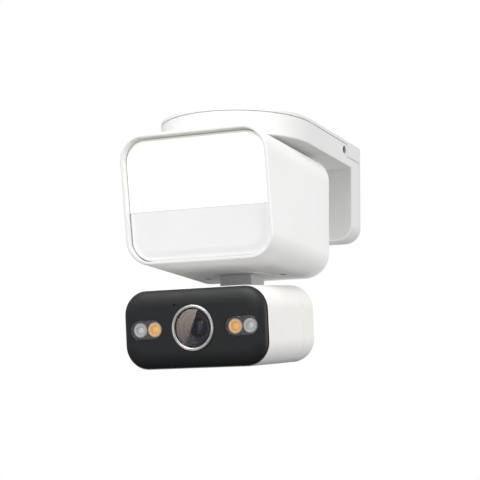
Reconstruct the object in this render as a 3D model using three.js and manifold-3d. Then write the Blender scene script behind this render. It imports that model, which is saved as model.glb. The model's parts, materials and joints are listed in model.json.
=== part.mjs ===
// Floodlight security camera. A wall bracket carries a lamp head, and a camera that pans and tilts hangs
// below the lamp. Millimetres, +Z up. The front faces -Y and the wall is the plane y = 0.
import * as THREE from 'three';
import { mergeVertices } from 'three/addons/utils/BufferGeometryUtils.js';
import Module from 'manifold-3d';

const wasm = await Module();
wasm.setup();

// ---- Driving dimensions ------------------------------------------------------------------------

const FIT = 0.3;                 // gap between pieces that touch or fit together
const SEAM = 0.4;                // visible joint between two outer covers
const BOARD = 1.6;               // thickness of every circuit board

const ARC = 3;                   // half the straight pieces in a quarter turn of an outline
const LONG_ARC = 10;             // the same for the arm's large round end
const EDGE_STEPS = 3;            // facets across a rounded edge
const ROUND = 20;                // facets around a turned piece

const BRACKET = {
  width: 114, height: 75, reach: 162,      // reach is from the wall to the round front end of the arm
  arm: 19, plate: 19.5, corner: 12,        // thickness of the arm and of the wall plate, lower corners
  wall: 2.6, lid: 2.5,                     // housing wall, and the skin of the mounting plate
  blockDepth: 28.5, blockHeight: 12,       // deeper rear end of the mounting plate
};
const WALL_HOLES = { radius: 2.4, spread: 72, low: -24, high: 14, ceilingFront: -112, ceilingRear: -48 };
const LOCK = { y: -35, drop: 8.1, head: 2.9, headHeight: 1.5, shank: 1.4, length: 11, lug: 9, socket: 1.4 };
const SWIVEL = {
  shaft: 9, bore: 5, flange: 14, flangeHeight: 3, washer: 17, collar: 6, nut: 13, nutHeight: 5, thread: 2,
};

const LAMP = {
  width: 113, height: 90, depth: 114, corner: 18,
  front: 177, lean: 0.205,                 // middle of the front edge to the wall, and its slope
  gap: 2, wall: 2.4, rearFillet: 4.5,
};
const FACE = { recess: 3.2, thickness: 2.5, split: -8, seal: 1.5, sealWidth: 3, boxDepth: 14, boxWall: 3 };
const LED = { size: 3.5, height: 1.2, columns: 6, rows: 2, columnPitch: 15, rowPitch: 20 };
const SINK = { base: 3, fin: 5.8, finWidth: 1.6, fins: 8, pitch: 11 };
const SENSOR = { dome: 11, shell: 1.2, can: 4.6, canHeight: 4.5, below: 25 };
const CELL = {
  radius: 10.7, length: 70.2, pitch: 23, count: 2, drop: 30.5, nub: 3, nubHeight: 1,
  rearGap: 9,                              // rear cell to the back of the lamp
};
const TRAY = { wall: 1.9, height: 20 };
const MAIN_BOARD = { width: 84, depth: 72, drop: 18.5, rearGap: 8 };
const SOCKET = {
  x: 20, z: -22, width: 9.6, height: 4.2, wall: 0.7, body: 3, depth: 8, tongue: 6, blade: 0.7,
};
const FLAP = {
  width: 26, height: 15, thickness: 2, corner: 4, margin: 2,
  grip: 8, gripHeight: 1.6, gripDrop: 2.6, gripProud: 0.8,
};
const BUTTON = { x: -12, radius: 4.5, well: 1.8, proud: 0.4, travel: 0.8, stem: 2, stemLength: 3 };
const LAMP_SCREW = {
  x: 29.5, y: 5.5, head: 3, headHeight: 1, sink: 1.7, shank: 1.5, length: 8, pillar: 4.5, pillarHeight: 3,
};
const CROSS = { width: 0.75, depth: 0.6, reach: 0.57 };    // screw recess, its arms as a share of the head

const PAN = {
  rearGap: 33.5,                           // pan axis to the back of the lamp
  disc: 21.4, discHeight: 1.3, recess: 1.4,           // the disc lies in a recess under the lamp
  shaft: 15, neck: 13, neckHeight: 4, bore: 8, bush: 17.5, retainer: 16.5, retainerHeight: 2,
  baseWidth: 72, baseDepth: 46, baseHeight: 3, baseCorner: 8,
};
const PAN_GEAR = { teeth: 28, module: 1.5, height: 4, above: 1.8 };
const PAN_PINION = { teeth: 8, module: 1.5, height: 4.6, shaft: 1.4, shaftLength: 6 };
const MOTOR_GAP = 0.8;                     // gear to the motor that drives it
const PAN_MOTOR = { ringGap: 0.5, height: 16 };      // its radius fills the space beside the retaining ring
const NECK = { width: 26, depth: 22.5, corner: 1.5, hub: 11, gap: 9.2 };
const AXLE = { radius: 3, left: 19, right: 21 };
const TILT_GEAR = { teeth: 16, module: 1, width: 3 };
const TILT_PINION = { teeth: 8, module: 1, width: 3, shaft: 1.2, shaftLength: 5 };
const TILT_MOTOR = { radius: 7.4, length: 17 };
const REST_TILT = THREE.MathUtils.degToRad(7.3);   // the camera looks this far below level at rest

const CAMERA = {
  width: 109, height: 55, corner: 17,
  front: 76.5, back: 11.5,                 // tilt axis to the front lip, and to the back
  wall: 2, lip: 1, lipDepth: 7,
  rearInset: 12, rearDepth: 9, seam: 15,   // soft back edge, and the cover joint in front of the axis
};
const PANEL = { bulge: 5, inset: 8, wall: 2.4, depth: 5.5 };
const SLOT = { front: 15, radius: 13, side: 0.75, wall: 1.5 };
const RING = { outer: 15.8, inner: 13.7, proud: 0.8, depth: 6 };
const GLASS = { recess: 1.2, thickness: 1.2 };
const HOOD = { depth: 8, throat: 7, wall: 1 };
const BARREL = { outer: 8, inner: 6.2, length: 16, lens: 5.9, crown: 2.2, edge: 2 };
const SENSOR_BOARD = { size: 28, chip: 14, chipHeight: 2 };
const WINDOW = { x: 36.1, width: 24, height: 13.3, thickness: 1.5, recess: 0.2 };
const LIGHT = { pitch: 11.1, radius: 5, throat: 2, height: 4.2 };
const LED_BOARD = {
  margin: 0.9, height: 16, corner: 6, hole: 17.5,      // margin is past the windows' outer ends
  bridge: 56, bridgeLow: -21, bridgeHigh: -6,          // the strip below the lens that joins its two ends
};
const MARK = { x: 13.4, z: 16.3, radius: 0.7 };
const CAMERA_BOARD = { width: 78, depth: 40, below: 16, ahead: 3 };
const SPEAKER = { x: -21, ahead: 45, radius: 13, rim: 1.5, height: 4.5, hole: 0.8, pitch: 4 };
const COVER_SCREW = {
  x: 40, z: -12, head: 2.6, headHeight: 1.4, sink: 2, shank: 1.3, length: 32,
  boss: 4, bossDepth: 9, rib: 2.4,
};

// ---- Places worked out from the sizes ----------------------------------------------------------

const TOP = BRACKET.height / 2;
const ARM_UNDER = TOP - BRACKET.arm;
const ROUND_END = BRACKET.width / 2 - BRACKET.reach;      // y of the arm's round end, and of the swivel
const LAMP_TOP = ARM_UNDER - LAMP.gap;
const LAMP_MID = LAMP_TOP - LAMP.height / 2;
const LAMP_UNDER = LAMP_TOP - LAMP.height;
const LAMP_REAR = LAMP.depth - LAMP.front;
const FLOOR = LAMP_UNDER + LAMP.wall;
const PAN_Y = LAMP_REAR - PAN.rearGap;
const TILT_Z = LAMP_UNDER - NECK.gap - CAMERA.height / 2;
const DISC_TOP = LAMP_UNDER + PAN.recess - SEAM;
const DISC_LOW = DISC_TOP - PAN.discHeight;
const GEAR_LOW = FLOOR + FIT + PAN.baseHeight + PAN_GEAR.above;
const PANEL_FRONT = -CAMERA.front - PANEL.bulge;
const FAR = 400;                                          // longer than the object, for cutting tools
const DEEP = 60;                                          // deeper than any wall, for cutting tools

// ---- Solids ------------------------------------------------------------------------------------

function solid(geometry) {
  const bare = geometry.clone();
  bare.deleteAttribute('normal');
  bare.deleteAttribute('uv');
  const merged = mergeVertices(bare, 1e-4);
  const corners = merged.index.array;
  const kept = [];
  for (let i = 0; i < corners.length; i += 3) {
    const [a, b, c] = [corners[i], corners[i + 1], corners[i + 2]];
    if (a !== b && b !== c && c !== a) kept.push(a, b, c);
  }
  const points = merged.attributes.position;
  if (signedVolume(points, kept) < 0) kept.reverse();
  return new wasm.Manifold(new wasm.Mesh({
    numProp: 3,
    vertProperties: new Float32Array(points.array),
    triVerts: new Uint32Array(kept),
  }));
}

function signedVolume(points, corners) {
  const [a, b, c] = [new THREE.Vector3(), new THREE.Vector3(), new THREE.Vector3()];
  let total = 0;
  for (let i = 0; i < corners.length; i += 3) {
    a.fromBufferAttribute(points, corners[i]);
    b.fromBufferAttribute(points, corners[i + 1]);
    c.fromBufferAttribute(points, corners[i + 2]);
    total += a.dot(b.cross(c)) / 6;
  }
  return total;
}

function union(first, ...others) {
  return others.reduce((sum, next) => sum.add(next), first);
}

function cut(body, ...tools) {
  return tools.reduce((rest, tool) => rest.subtract(tool), body);
}

function box(x0, x1, y0, y1, z0, z1) {
  const geometry = new THREE.BoxGeometry(x1 - x0, y1 - y0, z1 - z0);
  return solid(geometry.translate((x0 + x1) / 2, (y0 + y1) / 2, (z0 + z1) / 2));
}

function extruded(shape, depth, curveSegments) {
  return new THREE.ExtrudeGeometry(shape, { depth, curveSegments, bevelEnabled: false });
}

// An outline in X and Y, raised along Z.
function raised(shape, z0, z1, segments = ARC) {
  return solid(extruded(shape, z1 - z0, segments).translate(0, 0, z0));
}

// An outline in X and Z, drawn out along Y.
function drawn(shape, y0, y1, segments = ARC) {
  return solid(extruded(shape, y1 - y0, segments).rotateX(Math.PI / 2).translate(0, y1, 0));
}

// An outline in Y and Z, drawn out along X.
function across(shape, x0, x1, segments = ARC) {
  const geometry = extruded(shape, x1 - x0, segments);
  const turn = new THREE.Matrix4().makeBasis(
    new THREE.Vector3(0, 1, 0), new THREE.Vector3(0, 0, 1), new THREE.Vector3(1, 0, 0));
  return solid(geometry.applyMatrix4(turn).translate(x0, 0, 0));
}

// An outline in X and Z drawn out along Y, whose far end at y1 has a rounded edge. It starts past y0.
function softBar(shape, y0, y1, inset, depth) {
  const length = y1 - y0 - depth;
  const geometry = new THREE.ExtrudeGeometry(shape, {
    depth: length, curveSegments: ARC,
    bevelThickness: depth, bevelSize: inset, bevelOffset: -inset, bevelSegments: EDGE_STEPS,
  });
  const bar = solid(geometry.rotateX(Math.PI / 2).translate(0, y1 - depth, 0));
  return cut(bar, box(-FAR, FAR, y0 - 2 * depth, y0, -FAR, FAR));
}

// A profile of [radius, height] pairs turned about an axis through the origin.
function turned(profile, axis = 'z', steps = ROUND) {
  const points = profile.map(([radius, height]) => new THREE.Vector2(Math.max(radius, 0), height));
  const geometry = new THREE.LatheGeometry(points, steps);
  if (axis === 'z') geometry.rotateX(Math.PI / 2);
  if (axis === 'x') geometry.rotateZ(-Math.PI / 2);
  return solid(geometry);
}

function rod(radius, low, high, axis = 'z', steps = ROUND) {
  return turned([[0, low], [radius, low], [radius, high], [0, high]], axis, steps);
}

function ring(inner, outer, low, high, axis = 'z', steps = ROUND) {
  return turned([[inner, low], [outer, low], [outer, high], [inner, high], [inner, low]], axis, steps);
}

// ---- Outlines ----------------------------------------------------------------------------------

function roundedBox(width, height, corner, midX = 0, midY = 0) {
  const [w, h] = [width / 2 - corner, height / 2 - corner];
  const shape = new THREE.Shape();
  shape.absarc(midX + w, midY + h, corner, 0, Math.PI / 2);
  shape.absarc(midX - w, midY + h, corner, Math.PI / 2, Math.PI);
  shape.absarc(midX - w, midY - h, corner, Math.PI, Math.PI * 1.5);
  shape.absarc(midX + w, midY - h, corner, Math.PI * 1.5, Math.PI * 2);
  shape.closePath();
  return shape;
}

function polygon(points) {
  return new THREE.Shape(points.map(([a, b]) => new THREE.Vector2(a, b)));
}

// The arm seen from above: straight sides and a round front end.
function armOutline(inset) {
  const half = BRACKET.width / 2 - inset;
  const shape = new THREE.Shape();
  shape.moveTo(half, -inset);
  shape.lineTo(half, ROUND_END);
  shape.absarc(0, ROUND_END, half, 0, -Math.PI, true);
  shape.lineTo(-half, -inset);
  shape.closePath();
  return shape;
}

// The wall plate seen from the front: square at the top and rounded below.
function plateOutline(inset) {
  const half = BRACKET.width / 2 - inset;
  const radius = BRACKET.corner - inset;
  const low = -TOP + inset;
  const shape = new THREE.Shape();
  shape.moveTo(half, TOP);
  shape.lineTo(-half, TOP);
  shape.lineTo(-half, low + radius);
  shape.absarc(radius - half, low + radius, radius, Math.PI, Math.PI * 1.5);
  shape.absarc(half - radius, low + radius, radius, Math.PI * 1.5, Math.PI * 2);
  shape.closePath();
  return shape;
}

// Straight-sided teeth, thin enough to run without touching at the sides.
function gearOutline({ teeth, module }) {
  const pitch = (Math.PI * 2) / teeth;
  const root = module * (teeth / 2 - 1.15);
  const tip = module * (teeth / 2 + 0.8);
  const shape = new THREE.Shape();
  for (let tooth = 0; tooth < teeth; tooth++) {
    for (const [radius, offset] of [[root, -0.27], [tip, -0.1], [tip, 0.1], [root, 0.27]]) {
      const angle = (tooth + offset) * pitch;
      const [x, y] = [radius * Math.cos(angle), radius * Math.sin(angle)];
      if (tooth === 0 && offset === -0.27) shape.moveTo(x, y);
      else shape.lineTo(x, y);
    }
  }
  shape.closePath();
  return shape;
}

function hexagon(radius) {
  const corners = [0, 1, 2, 3, 4, 5].map((corner) => (corner * Math.PI) / 3);
  return polygon(corners.map((angle) => [radius * Math.cos(angle), radius * Math.sin(angle)]));
}

function circle(radius) {
  const shape = new THREE.Path();
  shape.absarc(0, 0, radius, 0, Math.PI * 2);
  return shape;
}

function at(body, x, y, z) {
  return body.translate([x, y, z]);
}

// A cross recess cut down from a screw head's face, which lies at the origin and faces +Z.
function crossRecess(head) {
  const [reach, half] = [head * CROSS.reach, CROSS.width / 2];
  return union(
    box(-reach, reach, -half, half, -CROSS.depth, 1),
    box(-half, half, -reach, reach, -CROSS.depth, 1),
  );
}

// ---- Materials and scene graph -----------------------------------------------------------------

const FINISH = {
  shell: [0xeeeeec, 0.45, 0],
  shellWarm: [0xe9e7e3, 0.5, 0],
  neck: [0xc9cac9, 0.5, 0],
  diffuser: [0xfffdf6, 0.35, 0],
  black: [0x2b2d2e, 0.35, 0],
  darkPlastic: [0x17181a, 0.5, 0],
  clear: [0x6f7274, 0.1, 0],
  glass: [0x20242a, 0.05, 0],
  silver: [0xd9dadb, 0.3, 0.9],
  amber: [0xe0a860, 0.3, 0.3],
  steel: [0xb5b7b9, 0.35, 1],
  aluminium: [0xc4c6c8, 0.4, 1],
  board: [0x1f5a3a, 0.5, 0],
  brass: [0xc2a14d, 0.35, 1],
  gear: [0xe4e0d2, 0.5, 0],
  rubber: [0x3a3b3c, 0.8, 0],
  greyRubber: [0xd4d4d1, 0.7, 0],
  cell: [0x3f7fae, 0.4, 0],
};

function add(parent, name, body, finish) {
  const { vertProperties, triVerts, numProp } = body.getMesh();
  const positions = [];
  for (let i = 0; i < vertProperties.length; i += numProp) {
    positions.push(vertProperties[i], vertProperties[i + 1], vertProperties[i + 2]);
  }
  const geometry = new THREE.BufferGeometry();
  geometry.setAttribute('position', new THREE.Float32BufferAttribute(positions, 3));
  geometry.setIndex(Array.from(triVerts));
  geometry.computeVertexNormals();
  const [color, roughness, metalness] = FINISH[finish];
  const mesh = new THREE.Mesh(geometry, new THREE.MeshStandardMaterial({ color, roughness, metalness }));
  mesh.name = name;
  parent.add(mesh);
}

const object = new THREE.Group();
const panStage = new THREE.Group();
panStage.position.set(0, PAN_Y, 0);
object.add(panStage);
const camera = new THREE.Group();
camera.position.set(0, 0, TILT_Z);
camera.rotation.x = REST_TILT;
panStage.add(camera);

// ---- Bracket -----------------------------------------------------------------------------------

const LOCK_Z = TOP - LOCK.drop;

function mountPlate() {
  const { width, lid, wall, blockDepth, blockHeight } = BRACKET;
  const half = width / 2;
  const block = cut(
    box(-half, half, -blockDepth, 0, TOP - blockHeight, TOP),
    box(wall - half, half - wall, wall - blockDepth, -wall, TOP - blockHeight - 1, TOP - lid),
  );
  const side = half - wall - FIT;
  const lug = box(side - LOCK.lug, side, LOCK.y - LOCK.lug / 2, LOCK.y + LOCK.lug / 2,
    LOCK_Z - LOCK.lug / 2, TOP - lid / 2);
  const plate = union(
    raised(armOutline(0), TOP - lid, TOP, LONG_ARC), drawn(plateOutline(0), -lid, 0), block, lug);
  const holes = [];
  for (const x of [-WALL_HOLES.spread / 2, WALL_HOLES.spread / 2]) {
    for (const z of [WALL_HOLES.low, WALL_HOLES.high]) {
      holes.push(at(rod(WALL_HOLES.radius, -lid * 2, lid, 'y', 12), x, 0, z));
    }
    for (const y of [WALL_HOLES.ceilingFront, WALL_HOLES.ceilingRear]) {
      holes.push(at(rod(WALL_HOLES.radius, TOP - lid * 2, TOP + lid, 'z', 12), x, y, 0));
    }
  }
  const pilot = at(rod(LOCK.shank + FIT, side - LOCK.length - FIT, side + 1, 'x', 12), 0, LOCK.y, LOCK_Z);
  return cut(plate, pilot, ...holes);
}

function bracketHousing() {
  const { width, lid, wall, plate, blockDepth, blockHeight } = BRACKET;
  const outside = union(
    raised(armOutline(0), ARM_UNDER, TOP, LONG_ARC), drawn(plateOutline(0), -plate, 0));
  const hollow = union(
    raised(armOutline(wall), ARM_UNDER + wall, TOP + 1, LONG_ARC),
    drawn(plateOutline(wall), wall - plate, 1),
  );
  const collar = ring(SWIVEL.shaft + FIT, SWIVEL.flange, ARM_UNDER + wall / 2, ARM_UNDER + SWIVEL.collar);
  return cut(
    union(cut(outside, hollow), at(collar, 0, ROUND_END, 0)),
    box(-FAR, FAR, -FAR, FAR, TOP - lid - FIT, TOP + 1),
    box(-FAR, FAR, -lid - FIT, 1, -FAR, FAR),
    box(-FAR, FAR, -blockDepth - FIT, 1, TOP - blockHeight - FIT, TOP + 1),
    at(rod(LOCK.head + FIT, width / 2 - wall * 2, width, 'x', 16), 0, LOCK.y, LOCK_Z),
    at(rod(SWIVEL.shaft + FIT, ARM_UNDER - 1, ARM_UNDER + wall * 2), 0, ROUND_END, 0),
  );
}

function lockScrew() {
  const seat = BRACKET.width / 2 - BRACKET.wall;
  const screw = union(
    rod(LOCK.head, seat, seat + LOCK.headHeight, 'x', 16),
    rod(LOCK.shank, seat - LOCK.length, seat + LOCK.headHeight / 2, 'x', 12),
  );
  const socket = across(hexagon(LOCK.socket), seat + LOCK.headHeight * 0.4, seat + LOCK.headHeight + 1);
  return at(cut(screw, socket), 0, LOCK.y, LOCK_Z);
}

const FLANGE_LOW = ARM_UNDER + SWIVEL.collar + FIT;
const NUT_TOP = LAMP_TOP - LAMP.wall - FIT;

function swivelPost() {
  const low = NUT_TOP - SWIVEL.nutHeight - SWIVEL.thread;
  const high = FLANGE_LOW + SWIVEL.flangeHeight;
  return at(turned([
    [SWIVEL.bore, low], [SWIVEL.shaft, low], [SWIVEL.shaft, FLANGE_LOW], [SWIVEL.flange, FLANGE_LOW],
    [SWIVEL.flange, high], [SWIVEL.bore, high], [SWIVEL.bore, low],
  ]), 0, ROUND_END, 0);
}

function swivelNut() {
  const nut = raised(hexagon(SWIVEL.nut), NUT_TOP - SWIVEL.nutHeight, NUT_TOP);
  const bore = rod(SWIVEL.shaft + FIT, NUT_TOP - SWIVEL.nutHeight - 1, NUT_TOP + 1);
  return at(cut(nut, bore), 0, ROUND_END, 0);
}

add(object, 'mount_plate', mountPlate(), 'shell');
add(object, 'bracket_housing', bracketHousing(), 'shell');
add(object, 'bracket_lock_screw', lockScrew(), 'steel');
add(object, 'swivel_post', swivelPost(), 'steel');
add(object, 'swivel_washer',
  at(ring(SWIVEL.shaft + FIT, SWIVEL.washer, LAMP_TOP + FIT, ARM_UNDER - FIT), 0, ROUND_END, 0),
  'darkPlastic');
add(object, 'swivel_nut', swivelNut(), 'steel');

// ---- Lamp head ---------------------------------------------------------------------------------

const INSIDE = { width: LAMP.width - 2 * LAMP.wall, height: LAMP.height - 2 * LAMP.wall };
const FLAP_X = (SOCKET.x + BUTTON.x) / 2;
const FLAP_Z = LAMP_MID + SOCKET.z;

function lampOutline(inset) {
  return roundedBox(LAMP.width - 2 * inset, LAMP.height - 2 * inset, LAMP.corner - inset, 0, LAMP_MID);
}

// Everything between two planes that lean with the lamp's front, given as depths behind its edge.
function leaning(near, far) {
  const front = (z) => -LAMP.front - LAMP.lean * (z - LAMP_MID);
  const [low, high] = [LAMP_MID - LAMP.height, LAMP_MID + LAMP.height];
  return across(polygon([
    [front(low) + near, low], [front(low) + far, low], [front(high) + far, high], [front(high) + near, high],
  ]), -LAMP.width, LAMP.width);
}

function rearFeatures() {
  const inner = LAMP_REAR - LAMP.wall;
  const padWidth = 2 * Math.abs(SOCKET.x - FLAP_X) + FLAP.width + 2 * FLAP.margin;
  return { inner, padWidth, padFront: inner - FLAP.thickness };
}

function lampShell() {
  const { inner, padWidth, padFront } = rearFeatures();
  const outside = softBar(lampOutline(0), -FAR, LAMP_REAR, LAMP.rearFillet, LAMP.rearFillet);
  const shell = cut(outside, leaning(-FAR, 0), drawn(lampOutline(LAMP.wall), -FAR, inner));
  const pad = drawn(roundedBox(padWidth, FLAP.height + 2 * FLAP.margin, FLAP.corner, FLAP_X, FLAP_Z),
    padFront, inner + 1);
  const recess = drawn(
    roundedBox(FLAP.width + FIT * 2, FLAP.height + FIT * 2, FLAP.corner, SOCKET.x, FLAP_Z),
    LAMP_REAR - FLAP.thickness, LAMP_REAR + 1);
  const mouth = drawn(roundedBox(SOCKET.width + 2 * FIT, SOCKET.height + 2 * FIT, SOCKET.height / 2,
    SOCKET.x, FLAP_Z), padFront - 1, LAMP_REAR);
  const tools = [
    recess, mouth,
    at(rod(BUTTON.radius + FIT, LAMP_REAR - BUTTON.well, LAMP_REAR + 1, 'y'), BUTTON.x, 0, FLAP_Z),
    at(rod(BUTTON.stem + FIT, padFront - 1, LAMP_REAR, 'y', 16), BUTTON.x, 0, FLAP_Z),
    at(rod(SWIVEL.shaft + FIT, LAMP_TOP - LAMP.wall * 2, LAMP_TOP + 1), 0, ROUND_END, 0),
    at(rod(PAN.bush + FIT, LAMP_UNDER - 1, FLOOR + 1), 0, PAN_Y, 0),
    at(rod(PAN.disc + SEAM, LAMP_UNDER - 1, LAMP_UNDER + PAN.recess, 'z', 2 * ROUND), 0, PAN_Y, 0),
  ];
  for (const x of [-LAMP_SCREW.x, LAMP_SCREW.x]) {
    const y = PAN_Y + LAMP_SCREW.y;
    const sunk = rod(LAMP_SCREW.head + FIT, LAMP_UNDER - 1, LAMP_UNDER + LAMP_SCREW.sink, 'z', 16);
    tools.push(at(sunk, x, y, 0));
    tools.push(at(rod(LAMP_SCREW.shank + FIT, LAMP_UNDER, FLOOR + 1, 'z', 12), x, y, 0));
  }
  return cut(union(shell, pad), ...tools);
}

// The plates in the front opening are split by a level seam.
function facePlate(upper) {
  const seam = LAMP_MID + FACE.split;
  const half = upper
    ? box(-FAR, FAR, -FAR, 0, seam + SEAM / 2, FAR)
    : box(-FAR, FAR, -FAR, 0, -FAR, seam - SEAM / 2);
  return drawn(lampOutline(LAMP.wall + SEAM), -FAR, LAMP_REAR - DEEP)
    .intersect(leaning(FACE.recess, FACE.recess + FACE.thickness)).intersect(half);
}

const SEAL_FRONT = FACE.recess + FACE.thickness + FIT;
const BOX_FRONT = SEAL_FRONT + FACE.seal + FIT;
const BOX_REAR = BOX_FRONT + FACE.boxDepth;
const LED_REAR = BOX_REAR + FIT + BOARD;
const SINK_FRONT = LED_REAR + FIT;

function frontSeal() {
  const outer = drawn(lampOutline(LAMP.wall + SEAM), -FAR, LAMP_REAR - DEEP);
  const hole = drawn(lampOutline(LAMP.wall + SEAM + FACE.sealWidth), -FAR, 0);
  return cut(outer, hole).intersect(leaning(SEAL_FRONT, SEAL_FRONT + FACE.seal));
}

// A tray with an upper window for the lights and a lower one for the motion sensor.
function lightBox() {
  const margin = LAMP.wall + SEAM + FACE.boxWall;
  const seam = LAMP_MID + FACE.split;
  const outer = drawn(lampOutline(LAMP.wall + SEAM), -FAR, LAMP_REAR - DEEP);
  const bar = box(-FAR, FAR, -FAR, 0, seam - FACE.boxWall / 2, seam + FACE.boxWall / 2);
  const hole = cut(drawn(lampOutline(margin), -FAR, 0), bar);
  return cut(outer, hole).intersect(leaning(BOX_FRONT, BOX_REAR));
}

function overLights(near, far, margin) {
  const seam = LAMP_MID + FACE.split;
  return drawn(lampOutline(margin), -FAR, LAMP_REAR - DEEP)
    .intersect(leaning(near, far)).intersect(box(-FAR, FAR, -FAR, 0, seam, FAR));
}

function lightBoard() {
  const margin = LAMP.wall + SEAM + FACE.boxWall / 2;
  const chips = [];
  const middle = (LAMP_MID + FACE.split + LAMP_TOP) / 2;
  for (let column = 0; column < LED.columns; column++) {
    for (let row = 0; row < LED.rows; row++) {
      const x = (column - (LED.columns - 1) / 2) * LED.columnPitch;
      const z = middle + (row - (LED.rows - 1) / 2) * LED.rowPitch;
      chips.push(box(x - LED.size / 2, x + LED.size / 2, -FAR, 0, z - LED.size / 2, z + LED.size / 2));
    }
  }
  const raisedChips = union(...chips).intersect(leaning(BOX_REAR + FIT - LED.height, LED_REAR - BOARD / 2));
  return overLights(BOX_REAR + FIT, LED_REAR, margin).add(raisedChips);
}

function heatSink() {
  const margin = LAMP.wall + SEAM + FACE.boxWall / 2;
  const fins = [];
  for (let fin = 0; fin < SINK.fins; fin++) {
    const x = (fin - (SINK.fins - 1) / 2) * SINK.pitch;
    fins.push(box(x - SINK.finWidth / 2, x + SINK.finWidth / 2, -FAR, 0, -FAR, FAR));
  }
  const rear = SINK_FRONT + SINK.base;
  return overLights(SINK_FRONT, rear, margin)
    .add(overLights(rear - 1, rear + SINK.fin, margin).intersect(union(...fins)));
}

function sensorPlace() {
  const z = LAMP_MID - SENSOR.below;
  return [0, -LAMP.front - LAMP.lean * (z - LAMP_MID) + BOX_FRONT, z];
}

function sensorDome() {
  const outside = [];
  const inside = [];
  for (let step = 0; step <= 6; step++) {
    const angle = (step * Math.PI) / 12;
    outside.push([SENSOR.dome * Math.cos(angle), -SENSOR.dome * 0.6 * Math.sin(angle)]);
    inside.unshift([(SENSOR.dome - SENSOR.shell) * Math.cos(angle),
      -(SENSOR.dome * 0.6 - SENSOR.shell) * Math.sin(angle)]);
  }
  const dome = turned([...outside, ...inside, outside[0]], 'y');
  return at(dome, ...sensorPlace().map((value, axis) => value + (axis === 1 ? SENSOR.dome * 0.6 + 2 : 0)));
}

function motionSensor() {
  const can = rod(SENSOR.can, 0, SENSOR.canHeight, 'y', 20);
  const board = box(-11, 11, SENSOR.canHeight - 0.2, SENSOR.canHeight + BOARD, -9, 9);
  const [x, y, z] = sensorPlace();
  return at(union(can, board), x, y + SENSOR.dome * 0.6 + 2 + FIT, z);
}

const CELL_REAR = LAMP_REAR - CELL.rearGap;
const CELL_Z = LAMP_TOP - CELL.drop;

// The cells lie across the lamp, one in front of the other.
function batteryCell(index) {
  const [low, high] = [-CELL.length / 2, CELL.length / 2 - CELL.nubHeight];
  const cell = turned([
    [0, low], [CELL.radius, low], [CELL.radius, high], [CELL.nub, high],
    [CELL.nub, high + CELL.nubHeight], [0, high + CELL.nubHeight],
  ], 'x');
  return at(cell, 0, CELL_REAR - CELL.radius - index * CELL.pitch, CELL_Z);
}

function batteryTray() {
  const end = CELL.length / 2 + FIT;
  const [rear, front] = [CELL_REAR, CELL_REAR - 2 * CELL.radius - (CELL.count - 1) * CELL.pitch];
  const floorTop = CELL_Z - CELL.radius - FIT;
  const floorLow = floorTop - TRAY.wall;
  return union(
    box(-end - TRAY.wall, end + TRAY.wall, front, rear, floorLow, floorTop),
    box(-end - TRAY.wall, -end, front, rear, floorLow, floorTop + TRAY.height),
    box(end, end + TRAY.wall, front, rear, floorLow, floorTop + TRAY.height),
  );
}

// A board with chips on it, each [x, distance in front of the board's rear edge, width, depth, height].
function chipBoard(width, depth, rear, top, chips) {
  const board = box(-width / 2, width / 2, rear - depth, rear, top - BOARD, top);
  return union(board, ...chips.map(([x, ahead, w, d, h]) => box(
    x - w / 2, x + w / 2, rear - ahead - d, rear - ahead, top - BOARD / 2, top + h)));
}

function mainBoard() {
  const { width, depth, drop, rearGap } = MAIN_BOARD;
  return chipBoard(width, depth, LAMP_REAR - rearGap, CELL_Z - drop, [
    [0, 20, 24, 24, 2],
    [27, 48, 14, 12, 3],
    [-30, 40, 12, 18, 2.5],
  ]);
}

function chargeSocket() {
  const { padFront } = rearFeatures();
  const { x, width, height, wall, tongue, blade } = SOCKET;
  const rear = padFront - SOCKET.depth;
  const front = LAMP_REAR - FLAP.thickness - FIT;
  const side = width / 2 + SOCKET.body;
  const nose = drawn(roundedBox(width, height, height / 2 - 0.1, x, FLAP_Z), rear, front);
  const body = box(x - side, x + side, rear, padFront - FIT, FLAP_Z - SOCKET.body, FLAP_Z + SOCKET.body);
  const inner = roundedBox(width - 2 * wall, height - 2 * wall, height / 2 - wall - 0.1, x, FLAP_Z);
  const hollow = drawn(inner, rear + 2, LAMP_REAR);
  const contacts = box(-tongue / 2, tongue / 2, rear + 1, front - wall, -blade / 2, blade / 2);
  return union(cut(union(nose, body), hollow), at(contacts, x, 0, FLAP_Z));
}

function portFlap() {
  const [low, high] = [LAMP_REAR - FLAP.thickness + FIT, LAMP_REAR];
  const leaf = drawn(roundedBox(FLAP.width, FLAP.height, FLAP.corner, SOCKET.x, FLAP_Z), low, high);
  const gripZ = FLAP_Z + FLAP.height / 2 - FLAP.gripDrop;
  const ridge = roundedBox(FLAP.grip, FLAP.gripHeight, FLAP.gripHeight / 2 - 0.1, SOCKET.x, gripZ);
  return union(leaf, drawn(ridge, low, high + FLAP.gripProud));
}

function powerButton() {
  const { padFront } = rearFeatures();
  const [low, high] = [LAMP_REAR - BUTTON.well + BUTTON.travel + FIT, LAMP_REAR + BUTTON.proud];
  return at(union(
    rod(BUTTON.radius, low, high, 'y'),
    rod(BUTTON.stem, padFront - BUTTON.stemLength, low + 0.2, 'y', 16),
  ), BUTTON.x, 0, FLAP_Z);
}

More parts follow.
